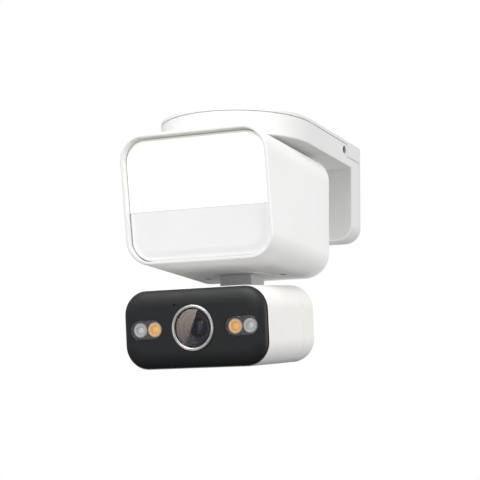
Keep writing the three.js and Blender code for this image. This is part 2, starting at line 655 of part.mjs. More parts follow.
function panBase() {
  const [low, high] = [FLOOR + FIT, FLOOR + FIT + PAN.baseHeight];
  const pillars = [];
  const holes = [rod(PAN.bush + FIT, low - 1, high + 1)];
  for (const x of [-LAMP_SCREW.x, LAMP_SCREW.x]) {
    const top = high + LAMP_SCREW.pillarHeight;
    pillars.push(at(rod(LAMP_SCREW.pillar, low, top, 'z', 16), x, LAMP_SCREW.y, 0));
    holes.push(at(rod(LAMP_SCREW.shank + FIT, low - 1, top + 1, 'z', 12), x, LAMP_SCREW.y, 0));
  }
  const plate = raised(roundedBox(PAN.baseWidth, PAN.baseDepth, PAN.baseCorner), low, high);
  return at(cut(union(plate, ...pillars), ...holes), 0, PAN_Y, 0);
}

function lampScrew(x) {
  const seat = LAMP_UNDER + LAMP_SCREW.sink - FIT;
  const low = seat - LAMP_SCREW.headHeight;
  const screw = union(
    rod(LAMP_SCREW.head, low, seat, 'z', 16),
    rod(LAMP_SCREW.shank, seat - LAMP_SCREW.headHeight / 2, seat + LAMP_SCREW.length, 'z', 12),
  );
  const recess = at(crossRecess(LAMP_SCREW.head).rotate([180, 0, 0]), 0, 0, low);
  return at(cut(screw, recess), x, PAN_Y + LAMP_SCREW.y, 0);
}

const PAN_CENTRES = (PAN_GEAR.module * PAN_GEAR.teeth + PAN_PINION.module * PAN_PINION.teeth) / 2;
const PINION_TOP = GEAR_LOW + PAN_PINION.height;

function panPinion() {
  const meshed = 90 + 180 / PAN_PINION.teeth;
  const gear = raised(gearOutline(PAN_PINION), GEAR_LOW, PINION_TOP).rotate([0, 0, meshed]);
  const shaft = rod(PAN_PINION.shaft, PINION_TOP - 1, PINION_TOP + PAN_PINION.shaftLength, 'z', 12);
  return at(union(gear, shaft), 0, PAN_Y - PAN_CENTRES, 0);
}

function panMotor() {
  const low = PINION_TOP + MOTOR_GAP;
  const can = rod(PAN_CENTRES - PAN.retainer - PAN_MOTOR.ringGap, low, low + PAN_MOTOR.height);
  const bore = rod(PAN_PINION.shaft + FIT, low - 1, PINION_TOP + PAN_PINION.shaftLength + FIT, 'z', 12);
  return at(cut(can, bore), 0, PAN_Y - PAN_CENTRES, 0);
}

add(object, 'lamp_shell', lampShell(), 'shell');
add(object, 'light_diffuser', facePlate(true), 'diffuser');
add(object, 'sensor_panel', facePlate(false), 'shell');
add(object, 'lamp_front_seal', frontSeal(), 'rubber');
add(object, 'light_box', lightBox(), 'shell');
add(object, 'lamp_led_board', lightBoard(), 'aluminium');
add(object, 'heat_sink', heatSink(), 'aluminium');
add(object, 'motion_sensor_dome', sensorDome(), 'diffuser');
add(object, 'motion_sensor', motionSensor(), 'steel');
for (let index = 0; index < CELL.count; index++) {
  add(object, `battery_cell_${index + 1}`, batteryCell(index), 'cell');
}
add(object, 'battery_tray', batteryTray(), 'darkPlastic');
add(object, 'main_board', mainBoard(), 'board');
add(object, 'charge_socket', chargeSocket(), 'steel');
add(object, 'port_flap', portFlap(), 'greyRubber');
add(object, 'power_button', powerButton(), 'greyRubber');
add(object, 'pan_base', panBase(), 'darkPlastic');
add(object, 'lamp_screw_left', lampScrew(-LAMP_SCREW.x), 'steel');
add(object, 'lamp_screw_right', lampScrew(LAMP_SCREW.x), 'steel');
add(object, 'pan_bush',
  at(ring(PAN.shaft + FIT, PAN.bush, DISC_TOP + FIT, FLOOR + FIT + PAN.baseHeight), 0, PAN_Y, 0), 'brass');
add(object, 'pan_motor', panMotor(), 'steel');
add(object, 'pan_pinion', panPinion(), 'brass');

// ---- Pan stage: about the vertical axis through the group's origin --------------------------------

const SHOULDER = GEAR_LOW + PAN_GEAR.height + FIT;

function panDisc() {
  return turned([
    [PAN.bore, DISC_LOW], [PAN.disc, DISC_LOW], [PAN.disc, DISC_TOP], [PAN.shaft, DISC_TOP],
    [PAN.shaft, SHOULDER], [PAN.neck, SHOULDER], [PAN.neck, SHOULDER + PAN.neckHeight],
    [PAN.bore, SHOULDER + PAN.neckHeight], [PAN.bore, DISC_LOW],
  ], 'z', 2 * ROUND);
}

function panGear() {
  const outline = gearOutline(PAN_GEAR);
  outline.holes.push(circle(PAN.shaft + FIT));
  return raised(outline, GEAR_LOW, GEAR_LOW + PAN_GEAR.height, ROUND / 2).rotate([0, 0, -90]);
}

function neckArm() {
  const high = DISC_LOW - FIT;
  const post = raised(roundedBox(NECK.width, NECK.depth, NECK.corner), TILT_Z, high);
  const hub = at(rod(NECK.hub, -NECK.width / 2, NECK.width / 2, 'x', 32), 0, 0, TILT_Z);
  const bore = at(rod(AXLE.radius + FIT, -NECK.width, NECK.width, 'x', 20), 0, 0, TILT_Z);
  return cut(union(post, hub), bore);
}

const TILT_TURN = [THREE.MathUtils.radToDeg(REST_TILT), 0, 0];
const GEAR_X = NECK.width / 2 + SLOT.side + SLOT.wall + MOTOR_GAP;

// The gear keeps a tooth towards the pinion, which sits in front of it in the camera.
function tiltGear() {
  const outline = gearOutline(TILT_GEAR);
  outline.holes.push(circle(AXLE.radius + FIT));
  const gear = across(outline, GEAR_X, GEAR_X + TILT_GEAR.width, ROUND / 2).rotate(TILT_TURN);
  return at(gear, 0, 0, TILT_Z);
}

add(panStage, 'pan_disc', panDisc(), 'neck');
add(panStage, 'pan_gear', panGear(), 'gear');
add(panStage, 'pan_retainer',
  ring(PAN.neck + FIT, PAN.retainer, SHOULDER + FIT, SHOULDER + FIT + PAN.retainerHeight), 'steel');
add(panStage, 'neck_arm', neckArm(), 'neck');
add(panStage, 'tilt_axle', at(rod(AXLE.radius, -AXLE.left, AXLE.right, 'x', 20), 0, 0, TILT_Z), 'steel');
add(panStage, 'tilt_gear', tiltGear(), 'gear');

// ---- Camera: its own frame, with the tilt axis through the origin ---------------------------------

function cameraOutline(inset) {
  return roundedBox(CAMERA.width - 2 * inset, CAMERA.height - 2 * inset, CAMERA.corner - inset);
}

function cameraBar(inset, front) {
  return softBar(cameraOutline(inset), front, CAMERA.back - inset, CAMERA.rearInset, CAMERA.rearDepth);
}

// The slot that the neck moves in: round below the axis, and open above and behind.
function slotOutline(grow) {
  const reach = SLOT.radius + grow;
  const shape = new THREE.Shape();
  shape.moveTo(-SLOT.front - grow, CAMERA.height);
  shape.lineTo(-SLOT.front - grow, 0);
  shape.lineTo(-reach, 0);
  shape.absarc(0, 0, reach, Math.PI, Math.PI * 1.5);
  shape.lineTo(CAMERA.height, -reach);
  shape.lineTo(CAMERA.height, CAMERA.height);
  shape.closePath();
  return shape;
}

const SLOT_HALF = NECK.width / 2 + SLOT.side;
const SLOT_TOOL = across(slotOutline(0), -SLOT_HALF, SLOT_HALF);

function coverBoss(side, y0, y1, radius) {
  return at(rod(radius, y0, y1, 'y', 16), side * COVER_SCREW.x, 0, COVER_SCREW.z);
}

function cameraShell() {
  const rear = -CAMERA.seam - SEAM / 2;
  const body = cut(
    drawn(cameraOutline(0), -CAMERA.front, rear),
    drawn(cameraOutline(CAMERA.wall), -FAR, rear + 1),
    drawn(cameraOutline(CAMERA.lip), -FAR, CAMERA.lipDepth - CAMERA.front),
  );
  const parts = [];
  const holes = [];
  for (const side of [-1, 1]) {
    const [near, far] = [COVER_SCREW.x, CAMERA.width / 2 - CAMERA.wall / 2].map((x) => side * x);
    parts.push(box(Math.min(near, far), Math.max(near, far), rear - COVER_SCREW.bossDepth, rear,
      COVER_SCREW.z - COVER_SCREW.rib / 2, COVER_SCREW.z + COVER_SCREW.rib / 2));
    parts.push(coverBoss(side, rear - COVER_SCREW.bossDepth, rear, COVER_SCREW.boss));
    holes.push(coverBoss(side, rear - COVER_SCREW.bossDepth - 1, rear + 1, COVER_SCREW.shank + FIT));
  }
  for (const row of [-1, 0, 1]) {
    for (const column of [-1, 0, 1]) {
      const x = SPEAKER.x + column * SPEAKER.pitch;
      const y = -SPEAKER.ahead + row * SPEAKER.pitch;
      holes.push(at(rod(SPEAKER.hole, -CAMERA.height, 0, 'z', 8), x, y, 0));
    }
  }
  return cut(union(body, ...parts), ...holes);
}

function cameraRearCover() {
  const front = -CAMERA.seam + SEAM / 2;
  const cover = cut(cameraBar(0, front), cameraBar(CAMERA.wall, front - 40));
  const parts = [];
  const holes = [];
  for (const side of [-1, 1]) {
    parts.push(coverBoss(side, front, CAMERA.back - CAMERA.wall / 2, COVER_SCREW.boss));
    holes.push(coverBoss(side, front - 1, CAMERA.back + 1, COVER_SCREW.shank + FIT));
    holes.push(coverBoss(side, CAMERA.back - COVER_SCREW.sink, CAMERA.back + 1, COVER_SCREW.head + FIT));
  }
  return cut(union(cover, ...parts), SLOT_TOOL, ...holes);
}

// The lining of the slot, clipped to the inside of the covers.
function tiltCradle() {
  const outer = across(slotOutline(SLOT.wall), -SLOT_HALF - SLOT.wall, SLOT_HALF + SLOT.wall);
  const bore = rod(AXLE.radius + FIT, -CAMERA.width / 2, CAMERA.width / 2, 'x', 20);
  return cut(outer.intersect(cameraBar(CAMERA.wall + FIT, -FAR)), SLOT_TOOL, bore);
}

function coverScrew(side) {
  const seat = CAMERA.back - COVER_SCREW.sink + FIT;
  const top = seat + COVER_SCREW.headHeight;
  const head = rod(COVER_SCREW.head, seat, top, 'y', 16);
  const shank = rod(COVER_SCREW.shank, seat - COVER_SCREW.length, seat + COVER_SCREW.headHeight / 2, 'y', 12);
  const recess = at(crossRecess(COVER_SCREW.head).rotate([-90, 0, 0]), 0, top, 0);
  return at(cut(union(head, shank), recess), side * COVER_SCREW.x, 0, COVER_SCREW.z);
}

function frontPanel() {
  const margin = CAMERA.lip + FIT;
  const make = (inset, front, rear) => softBar(
    cameraOutline(margin + inset), -rear, -front, PANEL.inset, PANEL.bulge).mirror([0, 1, 0]);
  const rear = -CAMERA.front + PANEL.depth;
  const cap = cut(make(0, PANEL_FRONT, rear), make(PANEL.wall, PANEL_FRONT + PANEL.wall, rear + 2));
  const holes = [rod(RING.outer + FIT, -FAR, 0, 'y', 40)];
  for (const side of [-1, 1]) {
    holes.push(drawn(roundedBox(WINDOW.width + 2 * FIT, WINDOW.height + 2 * FIT, WINDOW.height / 2,
      side * WINDOW.x, 0), -FAR, 0));
    holes.push(at(rod(MARK.radius, -FAR, 0, 'y', 10), side * MARK.x, 0, MARK.z));
  }
  return cut(cap, ...holes);
}

function panelSeal() {
  const outer = cameraOutline(CAMERA.lip + FIT);
  const rear = -CAMERA.front + CAMERA.lipDepth - FIT;
  return cut(drawn(outer, rear - 1, rear), drawn(cameraOutline(CAMERA.lip + FIT + 3), -FAR, 0));
}

function lensRing() {
  const front = PANEL_FRONT - RING.proud;
  return turned([
    [RING.inner, front + 0.5], [RING.inner + 0.4, front], [RING.outer - 0.4, front],
    [RING.outer, front + 0.5], [RING.outer, front + RING.depth], [RING.inner, front + RING.depth],
    [RING.inner, front + 0.5],
  ], 'y', 40);
}

const GLASS_FRONT = PANEL_FRONT - RING.proud + GLASS.recess;
const HOOD_FRONT = GLASS_FRONT + GLASS.thickness + FIT;
const BARREL_FRONT = HOOD_FRONT + HOOD.depth + FIT;

function lensHood() {
  const mouth = RING.inner - FIT;
  return turned([
    [mouth - HOOD.wall, HOOD_FRONT], [mouth, HOOD_FRONT],
    [mouth, HOOD_FRONT + 1], [HOOD.throat + HOOD.wall, HOOD_FRONT + HOOD.depth],
    [HOOD.throat, HOOD_FRONT + HOOD.depth], [mouth - HOOD.wall, HOOD_FRONT],
  ], 'y', ROUND);
}

function lensBarrel() {
  const { outer, inner, length } = BARREL;
  return ring(inner, outer, BARREL_FRONT, BARREL_FRONT + length, 'y', ROUND);
}

function frontLens() {
  const back = BARREL_FRONT + BARREL.edge + BARREL.crown;
  const profile = [[0, back], [BARREL.lens, back]];
  for (let step = 0; step <= 5; step++) {
    const angle = (step * Math.PI) / 10;
    profile.push([BARREL.lens * Math.cos(angle), back - BARREL.edge - BARREL.crown * Math.sin(angle)]);
  }
  profile[profile.length - 1][0] = 0;
  return turned(profile, 'y');
}

function sensorBoard() {
  const half = SENSOR_BOARD.size / 2;
  const front = BARREL_FRONT + BARREL.length + FIT;
  const [chip, rear] = [SENSOR_BOARD.chip / 2, front + SENSOR_BOARD.chipHeight];
  return union(
    box(-half, half, rear, rear + BOARD, -half, half),
    box(-chip, chip, front, rear + BOARD / 2, -chip, chip),
  );
}

function lightWindow(side) {
  const outline = roundedBox(WINDOW.width, WINDOW.height, WINDOW.height / 2 - 0.05, side * WINDOW.x, 0);
  const front = PANEL_FRONT + WINDOW.recess;
  return drawn(outline, front, front + WINDOW.thickness);
}

const LIGHT_FRONT = PANEL_FRONT + WINDOW.recess + WINDOW.thickness + FIT;

function lightCup(x) {
  const rear = LIGHT_FRONT + LIGHT.height;
  const cup = turned([
    [0, LIGHT_FRONT + 1.4], [LIGHT.throat, LIGHT_FRONT + 1.4], [LIGHT.radius - 0.8, LIGHT_FRONT],
    [LIGHT.radius, LIGHT_FRONT], [LIGHT.radius, LIGHT_FRONT + 1], [LIGHT.throat + 0.6, rear], [0, rear],
  ], 'y');
  return at(cup, x, 0, 0);
}

const LIGHT_REAR = LIGHT_FRONT + LIGHT.height + FIT;

function cameraLightBoard() {
  const { margin, height, corner, hole, bridge, bridgeLow, bridgeHigh } = LED_BOARD;
  const width = 2 * (WINDOW.x + WINDOW.width / 2 + margin);
  const ears = drawn(roundedBox(width, height, corner), LIGHT_REAR, LIGHT_REAR + BOARD);
  const strip = box(-bridge / 2, bridge / 2, LIGHT_REAR, LIGHT_REAR + BOARD, bridgeLow, bridgeHigh);
  return cut(union(ears, strip), rod(hole, -FAR, 0, 'y', 32));
}

function statusLight() {
  const front = PANEL_FRONT + 0.3;
  return at(union(
    rod(MARK.radius - 0.15, front, front + PANEL.wall + 0.6, 'y', 8),
    rod(1.6, front + PANEL.wall + 0.2, front + PANEL.wall + 3, 'y', 12),
  ), MARK.x, 0, MARK.z);
}

function cameraBoard() {
  const { width, depth, below, ahead } = CAMERA_BOARD;
  return chipBoard(width, depth, -CAMERA.seam - COVER_SCREW.bossDepth - ahead, -below, [
    [0, 2, 16, 14, 2],
    [23, 6, 10, 12, 3],
  ]);
}

function speaker() {
  const low = -CAMERA.height / 2 + CAMERA.wall + FIT;
  const { radius, rim, height } = SPEAKER;
  const can = turned([
    [0, low + rim / 2], [radius - rim, low + rim / 2], [radius - rim, low], [radius, low],
    [radius, low + rim], [radius - 2 * rim, low + height], [0, low + height],
  ]);
  return at(can, SPEAKER.x, -SPEAKER.ahead, 0);
}

const TILT_CENTRES = (TILT_GEAR.module * TILT_GEAR.teeth + TILT_PINION.module * TILT_PINION.teeth) / 2;
const TILT_PINION_END = GEAR_X + TILT_PINION.width;

function tiltPinion() {
  const gear = across(gearOutline(TILT_PINION), GEAR_X, TILT_PINION_END)
    .rotate([180 / TILT_PINION.teeth, 0, 0]);
  const end = TILT_PINION_END + TILT_PINION.shaftLength;
  const shaft = rod(TILT_PINION.shaft, TILT_PINION_END - 1, end, 'x', 12);
  return at(union(gear, shaft), 0, -TILT_CENTRES, 0);
}

function tiltMotor() {
  const low = TILT_PINION_END + MOTOR_GAP;
  const end = TILT_PINION_END + TILT_PINION.shaftLength;
  const bore = rod(TILT_PINION.shaft + FIT, low - 1, end + FIT, 'x', 12);
  return at(cut(rod(TILT_MOTOR.radius, low, low + TILT_MOTOR.length, 'x'), bore), 0, -TILT_CENTRES, 0);
}

add(camera, 'camera_shell', cameraShell(), 'shellWarm');
add(camera, 'camera_rear_cover', cameraRearCover(), 'shellWarm');
add(camera, 'tilt_cradle', tiltCradle(), 'darkPlastic');
add(camera, 'front_panel', frontPanel(), 'black');
add(camera, 'panel_seal', panelSeal(), 'rubber');
add(camera, 'lens_ring', lensRing(), 'silver');
add(camera, 'lens_glass',
  rod(RING.inner - FIT, GLASS_FRONT, GLASS_FRONT + GLASS.thickness, 'y', 40), 'glass');
add(camera, 'lens_hood', lensHood(), 'darkPlastic');
add(camera, 'lens_barrel', lensBarrel(), 'darkPlastic');
add(camera, 'front_lens', frontLens(), 'glass');
add(camera, 'image_sensor_board', sensorBoard(), 'board');
for (const [side, name] of [[-1, 'left'], [1, 'right']]) {
  add(camera, `light_window_${name}`, lightWindow(side), 'clear');
  add(camera, `infrared_light_${name}`, lightCup(side * (WINDOW.x + LIGHT.pitch / 2)), 'silver');
  add(camera, `white_light_${name}`, lightCup(side * (WINDOW.x - LIGHT.pitch / 2)), 'amber');
  add(camera, `cover_screw_${name}`, coverScrew(side), 'steel');
}
add(camera, 'camera_light_board', cameraLightBoard(), 'board');
add(camera, 'status_light', statusLight(), 'clear');
add(camera, 'camera_board', cameraBoard(), 'board');
add(camera, 'speaker', speaker(), 'steel');
add(camera, 'tilt_motor', tiltMotor(), 'steel');
add(camera, 'tilt_pinion', tiltPinion(), 'brass');

export default object;
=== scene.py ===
"""Floodlight security camera: fine surfaces, finishes, light and view around its fixed frame.

Lengths are in millimetres until a mesh is made in metres. The wall is y = 0 and the front faces -Y.
"""

import json
import math

import bmesh
import bpy
from mathutils import Matrix, Vector


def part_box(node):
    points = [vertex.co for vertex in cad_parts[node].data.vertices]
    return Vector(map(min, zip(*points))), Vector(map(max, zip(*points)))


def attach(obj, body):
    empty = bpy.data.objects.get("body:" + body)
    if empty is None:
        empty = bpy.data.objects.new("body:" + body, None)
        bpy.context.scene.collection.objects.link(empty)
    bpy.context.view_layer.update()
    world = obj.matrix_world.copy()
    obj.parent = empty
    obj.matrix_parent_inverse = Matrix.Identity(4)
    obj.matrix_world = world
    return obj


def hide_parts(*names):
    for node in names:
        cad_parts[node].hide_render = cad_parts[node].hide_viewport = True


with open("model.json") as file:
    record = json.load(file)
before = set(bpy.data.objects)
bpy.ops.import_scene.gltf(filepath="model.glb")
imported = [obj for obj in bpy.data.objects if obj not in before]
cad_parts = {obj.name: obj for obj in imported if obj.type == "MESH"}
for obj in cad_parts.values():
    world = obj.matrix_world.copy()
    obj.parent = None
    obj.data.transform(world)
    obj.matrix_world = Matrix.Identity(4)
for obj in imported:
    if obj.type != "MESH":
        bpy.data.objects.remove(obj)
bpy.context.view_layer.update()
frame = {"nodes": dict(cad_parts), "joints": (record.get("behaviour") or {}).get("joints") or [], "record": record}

# ---- Sizes that the frame doesn't say ---------------------------------------------------------

MM = 0.001                     # metres in a millimetre
FINE = 64                      # faces around a turned surface
HAIR = 0.25                    # broken edge where two covers meet
SEAM = 0.4                     # joint between two covers
FIT = 0.3                      # gap between parts that fit together

BRACKET = {"wall": 2.6, "plate": 19.5, "corner": 12, "lid": 2.5, "edge": 0.7, "block": (28.5, 12)}
SCREW_HOLE = {"radius": 2.4, "head": 4.4, "sink": 1.4, "x": 36, "wall": (-24, 14), "ceiling": (-112, -48)}
LOCK = {"lug": 9, "half": 4.5, "pilot": 1.7, "reach": 11.3, "well": 3.2}
SWIVEL = {"hole": 9.3, "collar": 14, "height": 6}
LAMP = {"corner": 18, "wall": 2.4, "lean": 0.205, "rear": 4.5, "lip": 0.9, "inner_lip": 0.5}
FACE = {"recess": 3.2, "thickness": 2.5, "pillow": (8.0, 2.4), "gap": 0.25, "drip": 1.0}
FLAP = {"width": 26, "height": 15, "corner": 4, "depth": 2, "margin": 2}
SOCKET_MOUTH = (10.2, 4.8)
DISC_RECESS = 1.4              # the pan disc lies this deep in the lamp's underside
NECK = {"depth": 22.5, "corner": 1.5, "hub": 11, "bore": 3.3}
CAMERA = {"corner": 17, "wall": 2, "lip": 0.6, "lip_depth": 7, "soft": (12, 9)}
RIM_BREAK = 0.45                # rear edge of the front shell, broken wider so that the joint shows
PANEL = {"pillow": (11, 3.9), "wall": 2.4}
SLOT = {"half": 13.75, "front": 15, "radius": 13, "wall": 1.5}
LENS = {"ring": 13.7, "throat": 7, "barrel": 6.2, "crown": 2.2}
CHIP = {"floor": 2.2, "foot": 1.75, "step": 0.35, "dome": 1.5}      # "floor" is the depth of a cup
MARK = {"x": 13.4, "z": 16.3, "radius": 0.7}
SPEAKER_HOLES = {"x": -21, "y": -45, "pitch": 4, "radius": 0.8, "rows": 3}


# ---- Frame in millimetres ---------------------------------------------------------------------

def joint_place(name):
    """A joint's point on its axis."""
    found = next(joint for joint in frame["joints"] if joint["name"] == name)
    return Vector(found["pos_m"]) / MM


def corners(node):
    """Lowest and highest corner of a frame node."""
    return [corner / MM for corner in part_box(node)]


TILT_AXIS = joint_place("tilt")
DRIVE_AXIS = joint_place("tilt_drive_spin")
PITCH = math.atan2(TILT_AXIS.z - DRIVE_AXIS.z, TILT_AXIS.y - DRIVE_AXIS.y)
CAMERA_FRAME = Matrix.Translation(TILT_AXIS) @ Matrix.Rotation(PITCH, 4, "X")


def camera_corners(node):
    """The same for a node of the camera, in the camera's own frame, which is level with its base."""
    inverse = CAMERA_FRAME.inverted()
    points = [inverse @ (vertex.co / MM) for vertex in frame["nodes"][node].data.vertices]
    return [Vector(pick(point[axis] for point in points) for axis in range(3)) for pick in (min, max)]


BODY_OF = {node: body for body, nodes in frame["record"]["behaviour"]["bodies"].items() for node in nodes}
SLOT_OF = {part["node"]: part["material_slot"] for part in frame["record"]["subparts"]}


# ---- Outlines and profiles --------------------------------------------------------------------

def rounded(width, height, corner, steps=10):
    """A rounded rectangle round the origin, as pairs."""
    corner = max(corner, 0.01)
    across, up = width / 2 - corner, height / 2 - corner
    points = []
    for quarter, (u, v) in enumerate(((across, up), (-across, up), (-across, -up), (across, -up))):
        for step in range(steps + 1):
            angle = (quarter + step / steps) * math.pi / 2
            points.append((u + corner * math.cos(angle), v + corner * math.sin(angle)))
    return points


def circle(radius, steps=FINE):
    return [(radius * math.cos(2 * math.pi * step / steps), radius * math.sin(2 * math.pi * step / steps))
            for step in range(steps)]


def soft_edge(inset, depth, steps=5):
    """(inset, depth) pairs round a soft edge, from the face at depth 0 to the side at inset 0."""
    angles = [step / steps * math.pi / 2 for step in range(steps + 1)]
    return [(inset * (1 - math.sin(angle)), depth * (1 - math.cos(angle))) for angle in angles]


def lay(pairs, along, axis="y", centre=(0, 0, 0)):
    """An outline laid across an axis at a height along it. The height may be a function of the pair."""
    points = []
    for u, v in pairs:
        height = along(u, v) if callable(along) else along
        point = {"x": (height, u, v), "y": (u, height, v), "z": (u, v, height)}[axis]
        points.append(Vector(point) + Vector(centre))
    return points


# ---- Surfaces ---------------------------------------------------------------------------------

def skin(rings, closed=False):
    """A closed surface through rings of points, flat at both ends, or joined end to end."""
    surface = bmesh.new()
    rows = [[surface.verts.new(point) for point in ring] for ring in rings]
    following = rows[1:] + rows[:1] if closed else rows[1:]
    for row, after in zip(rows, following):
        for here in range(len(row)):
            there = (here + 1) % len(row)
            surface.faces.new((row[here], row[there], after[there], after[here]))
    if not closed:
        surface.faces.new(rows[0])
        surface.faces.new(rows[-1])
    return tidy(surface)


def tidy(surface):
    bmesh.ops.remove_doubles(surface, verts=surface.verts, dist=0.0005)
    bmesh.ops.dissolve_degenerate(surface, edges=surface.edges, dist=0.0005)
    bmesh.ops.recalc_face_normals(surface, faces=surface.faces)
    return surface


def turned(profile, axis="y", centre=(0, 0, 0), closed=False, steps=FINE):
    """A profile of (radius, height) pairs turned about an axis."""
    rings = [lay(circle(max(radius, 0.0001), steps), height, axis, centre) for radius, height in profile]
    return skin(rings, closed)


def rod(radius, low, high, axis="y", centre=(0, 0, 0), edge=0.0, steps=FINE):
    """A round bar with broken edges."""
    if edge == 0:
        return turned([(radius, low), (radius, high)], axis, centre, steps=steps)
    ends = soft_edge(edge, edge, 3)
    profile = [(radius - inset, low + depth) for inset, depth in ends]
    profile += [(radius - inset, high - depth) for inset, depth in reversed(ends)]
    return turned(profile, axis, centre, steps=steps)


def slab(pairs, low, high, axis="y", centre=(0, 0, 0)):
    """An outline drawn out along an axis."""
    return skin([lay(pairs, low, axis, centre), lay(pairs, high, axis, centre)])


def block(low, high):
    """A box between two corners."""
    surface = bmesh.new()
    bmesh.ops.create_cube(surface, size=1)
    size = [b - a for a, b in zip(low, high)]
    middle = [(a + b) / 2 for a, b in zip(low, high)]
    surface.transform(Matrix.Translation(middle) @ Matrix.Diagonal((*size, 1)))
    return surface


def gather(*surfaces):
    """Separate surfaces put into one."""
    whole = surfaces[0]
    for surface in surfaces[1:]:
        loose = bpy.data.meshes.new("loose")
        surface.to_mesh(loose)
        whole.from_mesh(loose)
        bpy.data.meshes.remove(loose)
    return whole


def soften(surface, radius, segments=3, least=0.6, only=None):
    """Rounds the sharp outward edges."""
    surface.normal_update()
    sharp = [edge for edge in surface.edges if edge.is_manifold and edge.is_convex
             and edge.calc_face_angle() > least and (only is None or only(edge))]
    bmesh.ops.bevel(surface, geom=sharp, offset=radius, segments=segments, profile=0.5, affect="EDGES",
                    clamp_overlap=True)
    return surface


def joined(operation, surface, *tools):
    """The surface after each tool is joined to it or cut from it."""
    objects = []
    for item in (surface, *tools):
        mesh = bpy.data.meshes.new("tool")
        item.to_mesh(mesh)
        holder = bpy.data.objects.new("tool", mesh)
        bpy.context.scene.collection.objects.link(holder)
        objects.append(holder)
    body = objects[0]
    for tool in objects[1:]:
        change = body.modifiers.new("change", "BOOLEAN")
        change.operation = operation
        change.solver = "EXACT"
        change.object = tool
    shaped = body.evaluated_get(bpy.context.evaluated_depsgraph_get()).to_mesh()
    result = bmesh.new()
    result.from_mesh(shaped)
    for holder in objects:
        mesh = holder.data
        bpy.data.objects.remove(holder)
        bpy.data.meshes.remove(mesh)
    return tidy(result)


def cut(surface, *tools):
    return joined("DIFFERENCE", surface, *tools)


def fuse(surface, *others):
    return joined("UNION", surface, *others)


def common(surface, *others):
    return joined("INTERSECT", surface, *others)


# ---- Pieces -----------------------------------------------------------------------------------

FINISHES = {}


def piece(node, surface, place=None, crease=32, name=None, extra=False, finish=None):
    """A finished piece that stands for a frame node, or an extra one that rides with it."""
    title = name or node + "_surface"
    if place is not None:
        surface.transform(place)
    surface.transform(Matrix.Scale(MM, 4))
    mesh = bpy.data.meshes.new(title)
    surface.to_mesh(mesh)
    mesh.shade_smooth()
    mesh.set_sharp_from_angle(angle=math.radians(crease))
    made = bpy.data.objects.new(title, mesh)
    bpy.context.scene.collection.objects.link(made)
    normals = made.modifiers.new("weighted normals", "WEIGHTED_NORMAL")
    normals.keep_sharp = True
    mesh.materials.append(FINISHES[finish or SLOT_OF[node]])
    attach(made, BODY_OF[node])
    if not extra:
        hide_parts(node)
    return made


# ---- Finishes ---------------------------------------------------------------------------------

def colour(code):
    """Linear colour from an sRGB hex code."""
    parts = [int(code[start:start + 2], 16) / 255 for start in (1, 3, 5)]
    return (*[part / 12.92 if part <= 0.04045 else ((part + 0.055) / 1.055) ** 2.4 for part in parts], 1)


def every(size):
    """Pattern scale that repeats about every so many millimetres."""
    return 1 / (size * MM)


def add(tree, kind, inputs=None, stops=None, **settings):
    """Adds a node. An input is a plain value or the socket that feeds it, and stops are a ramp's colours."""
    node = tree.nodes.new("ShaderNode" + kind)
    for name, value in settings.items():
        setattr(node, name, value)
    for name, value in (inputs or {}).items():
        if isinstance(value, bpy.types.NodeSocket):
            tree.links.new(value, node.inputs[name])
        else:
            node.inputs[name].default_value = value
    if stops:
        for (position, shade), element in zip(stops, node.color_ramp.elements):
            element.position, element.color = position, shade
        for position, shade in stops[2:]:
            node.color_ramp.elements.new(position).color = shade
    return node


def started(name):
    """A new material: its node tree, and the place on the piece that its patterns follow."""
    material = bpy.data.materials.new(name)
    material.use_nodes = True
    material.node_tree.nodes.clear()
    return material, material.node_tree, add(material.node_tree, "TexCoord").outputs["Object"]


def finished(material, tree, inputs):
    shader = add(tree, "BsdfPrincipled", inputs)
    add(tree, "OutputMaterial", {"Surface": shader.outputs[0]})
    return material


def glow(code, strength):
    """Shader inputs for a surface that gives light of its own."""
    return {"Emission Color": colour(code), "Emission Strength": strength}


def moulded(name, shade, deep, roughness, grain=1.1, bump=0.012, ior=1.52, **more):
    """A moulded plastic: a fine spark-eroded texture, slow drifts of tone from the flow, uneven gloss."""
    material, tree, place = started(name)
    flow = add(tree, "TexNoise", {"Vector": place, "Scale": every(45), "Detail": 3, "Roughness": 0.55})
    tone = add(tree, "ValToRGB", {"Fac": flow.outputs["Fac"]},
               stops=[(0.3, colour(deep)), (0.62, colour(shade))])
    smudge = add(tree, "TexNoise", {"Vector": place, "Scale": every(14), "Detail": 4, "Roughness": 0.6})
    gloss = add(tree, "MapRange", {"Value": smudge.outputs["Fac"], "From Min": 0.3, "From Max": 0.7,
                                   "To Min": roughness - 0.035, "To Max": roughness + 0.045})
    spark = add(tree, "TexNoise", {"Vector": place, "Scale": every(grain), "Detail": 2, "Roughness": 0.7})
    relief = add(tree, "Bump", {"Height": spark.outputs["Fac"], "Strength": 0.35, "Distance": bump * MM})
    inputs = {"Base Color": tone.outputs["Color"], "Roughness": gloss.outputs["Result"],
              "Normal": relief.outputs["Normal"], "IOR": ior}
    inputs.update(more)
    return finished(material, tree, inputs)


def bracket_white():
    # Weatherproof ASA, moulded: a cool matt white whose fine texture softens every highlight.
    return moulded("ASA moulded, bracket", "#E4E4E3", "#E0E0DF", 0.54)


def lamp_white():
    # The same ASA in a brighter batch: the lamp's sides read as clean white with soft edges.
    return moulded("ASA moulded, lamp", "#F3F3F2", "#F0F0EF", 0.44)


def camera_white():
    # Polycarbonate and ABS blend, moulded: a slightly warmer white than the lamp above it.
    return moulded("PC-ABS moulded, camera", "#EFEDEA", "#EBE9E6", 0.45)


def neck_grey():
    # ABS moulded in pale grey: the joint between lamp and camera looks a shade darker than both.
    return moulded("ABS moulded, pale grey", "#BFC1C1", "#BABCBC", 0.5)


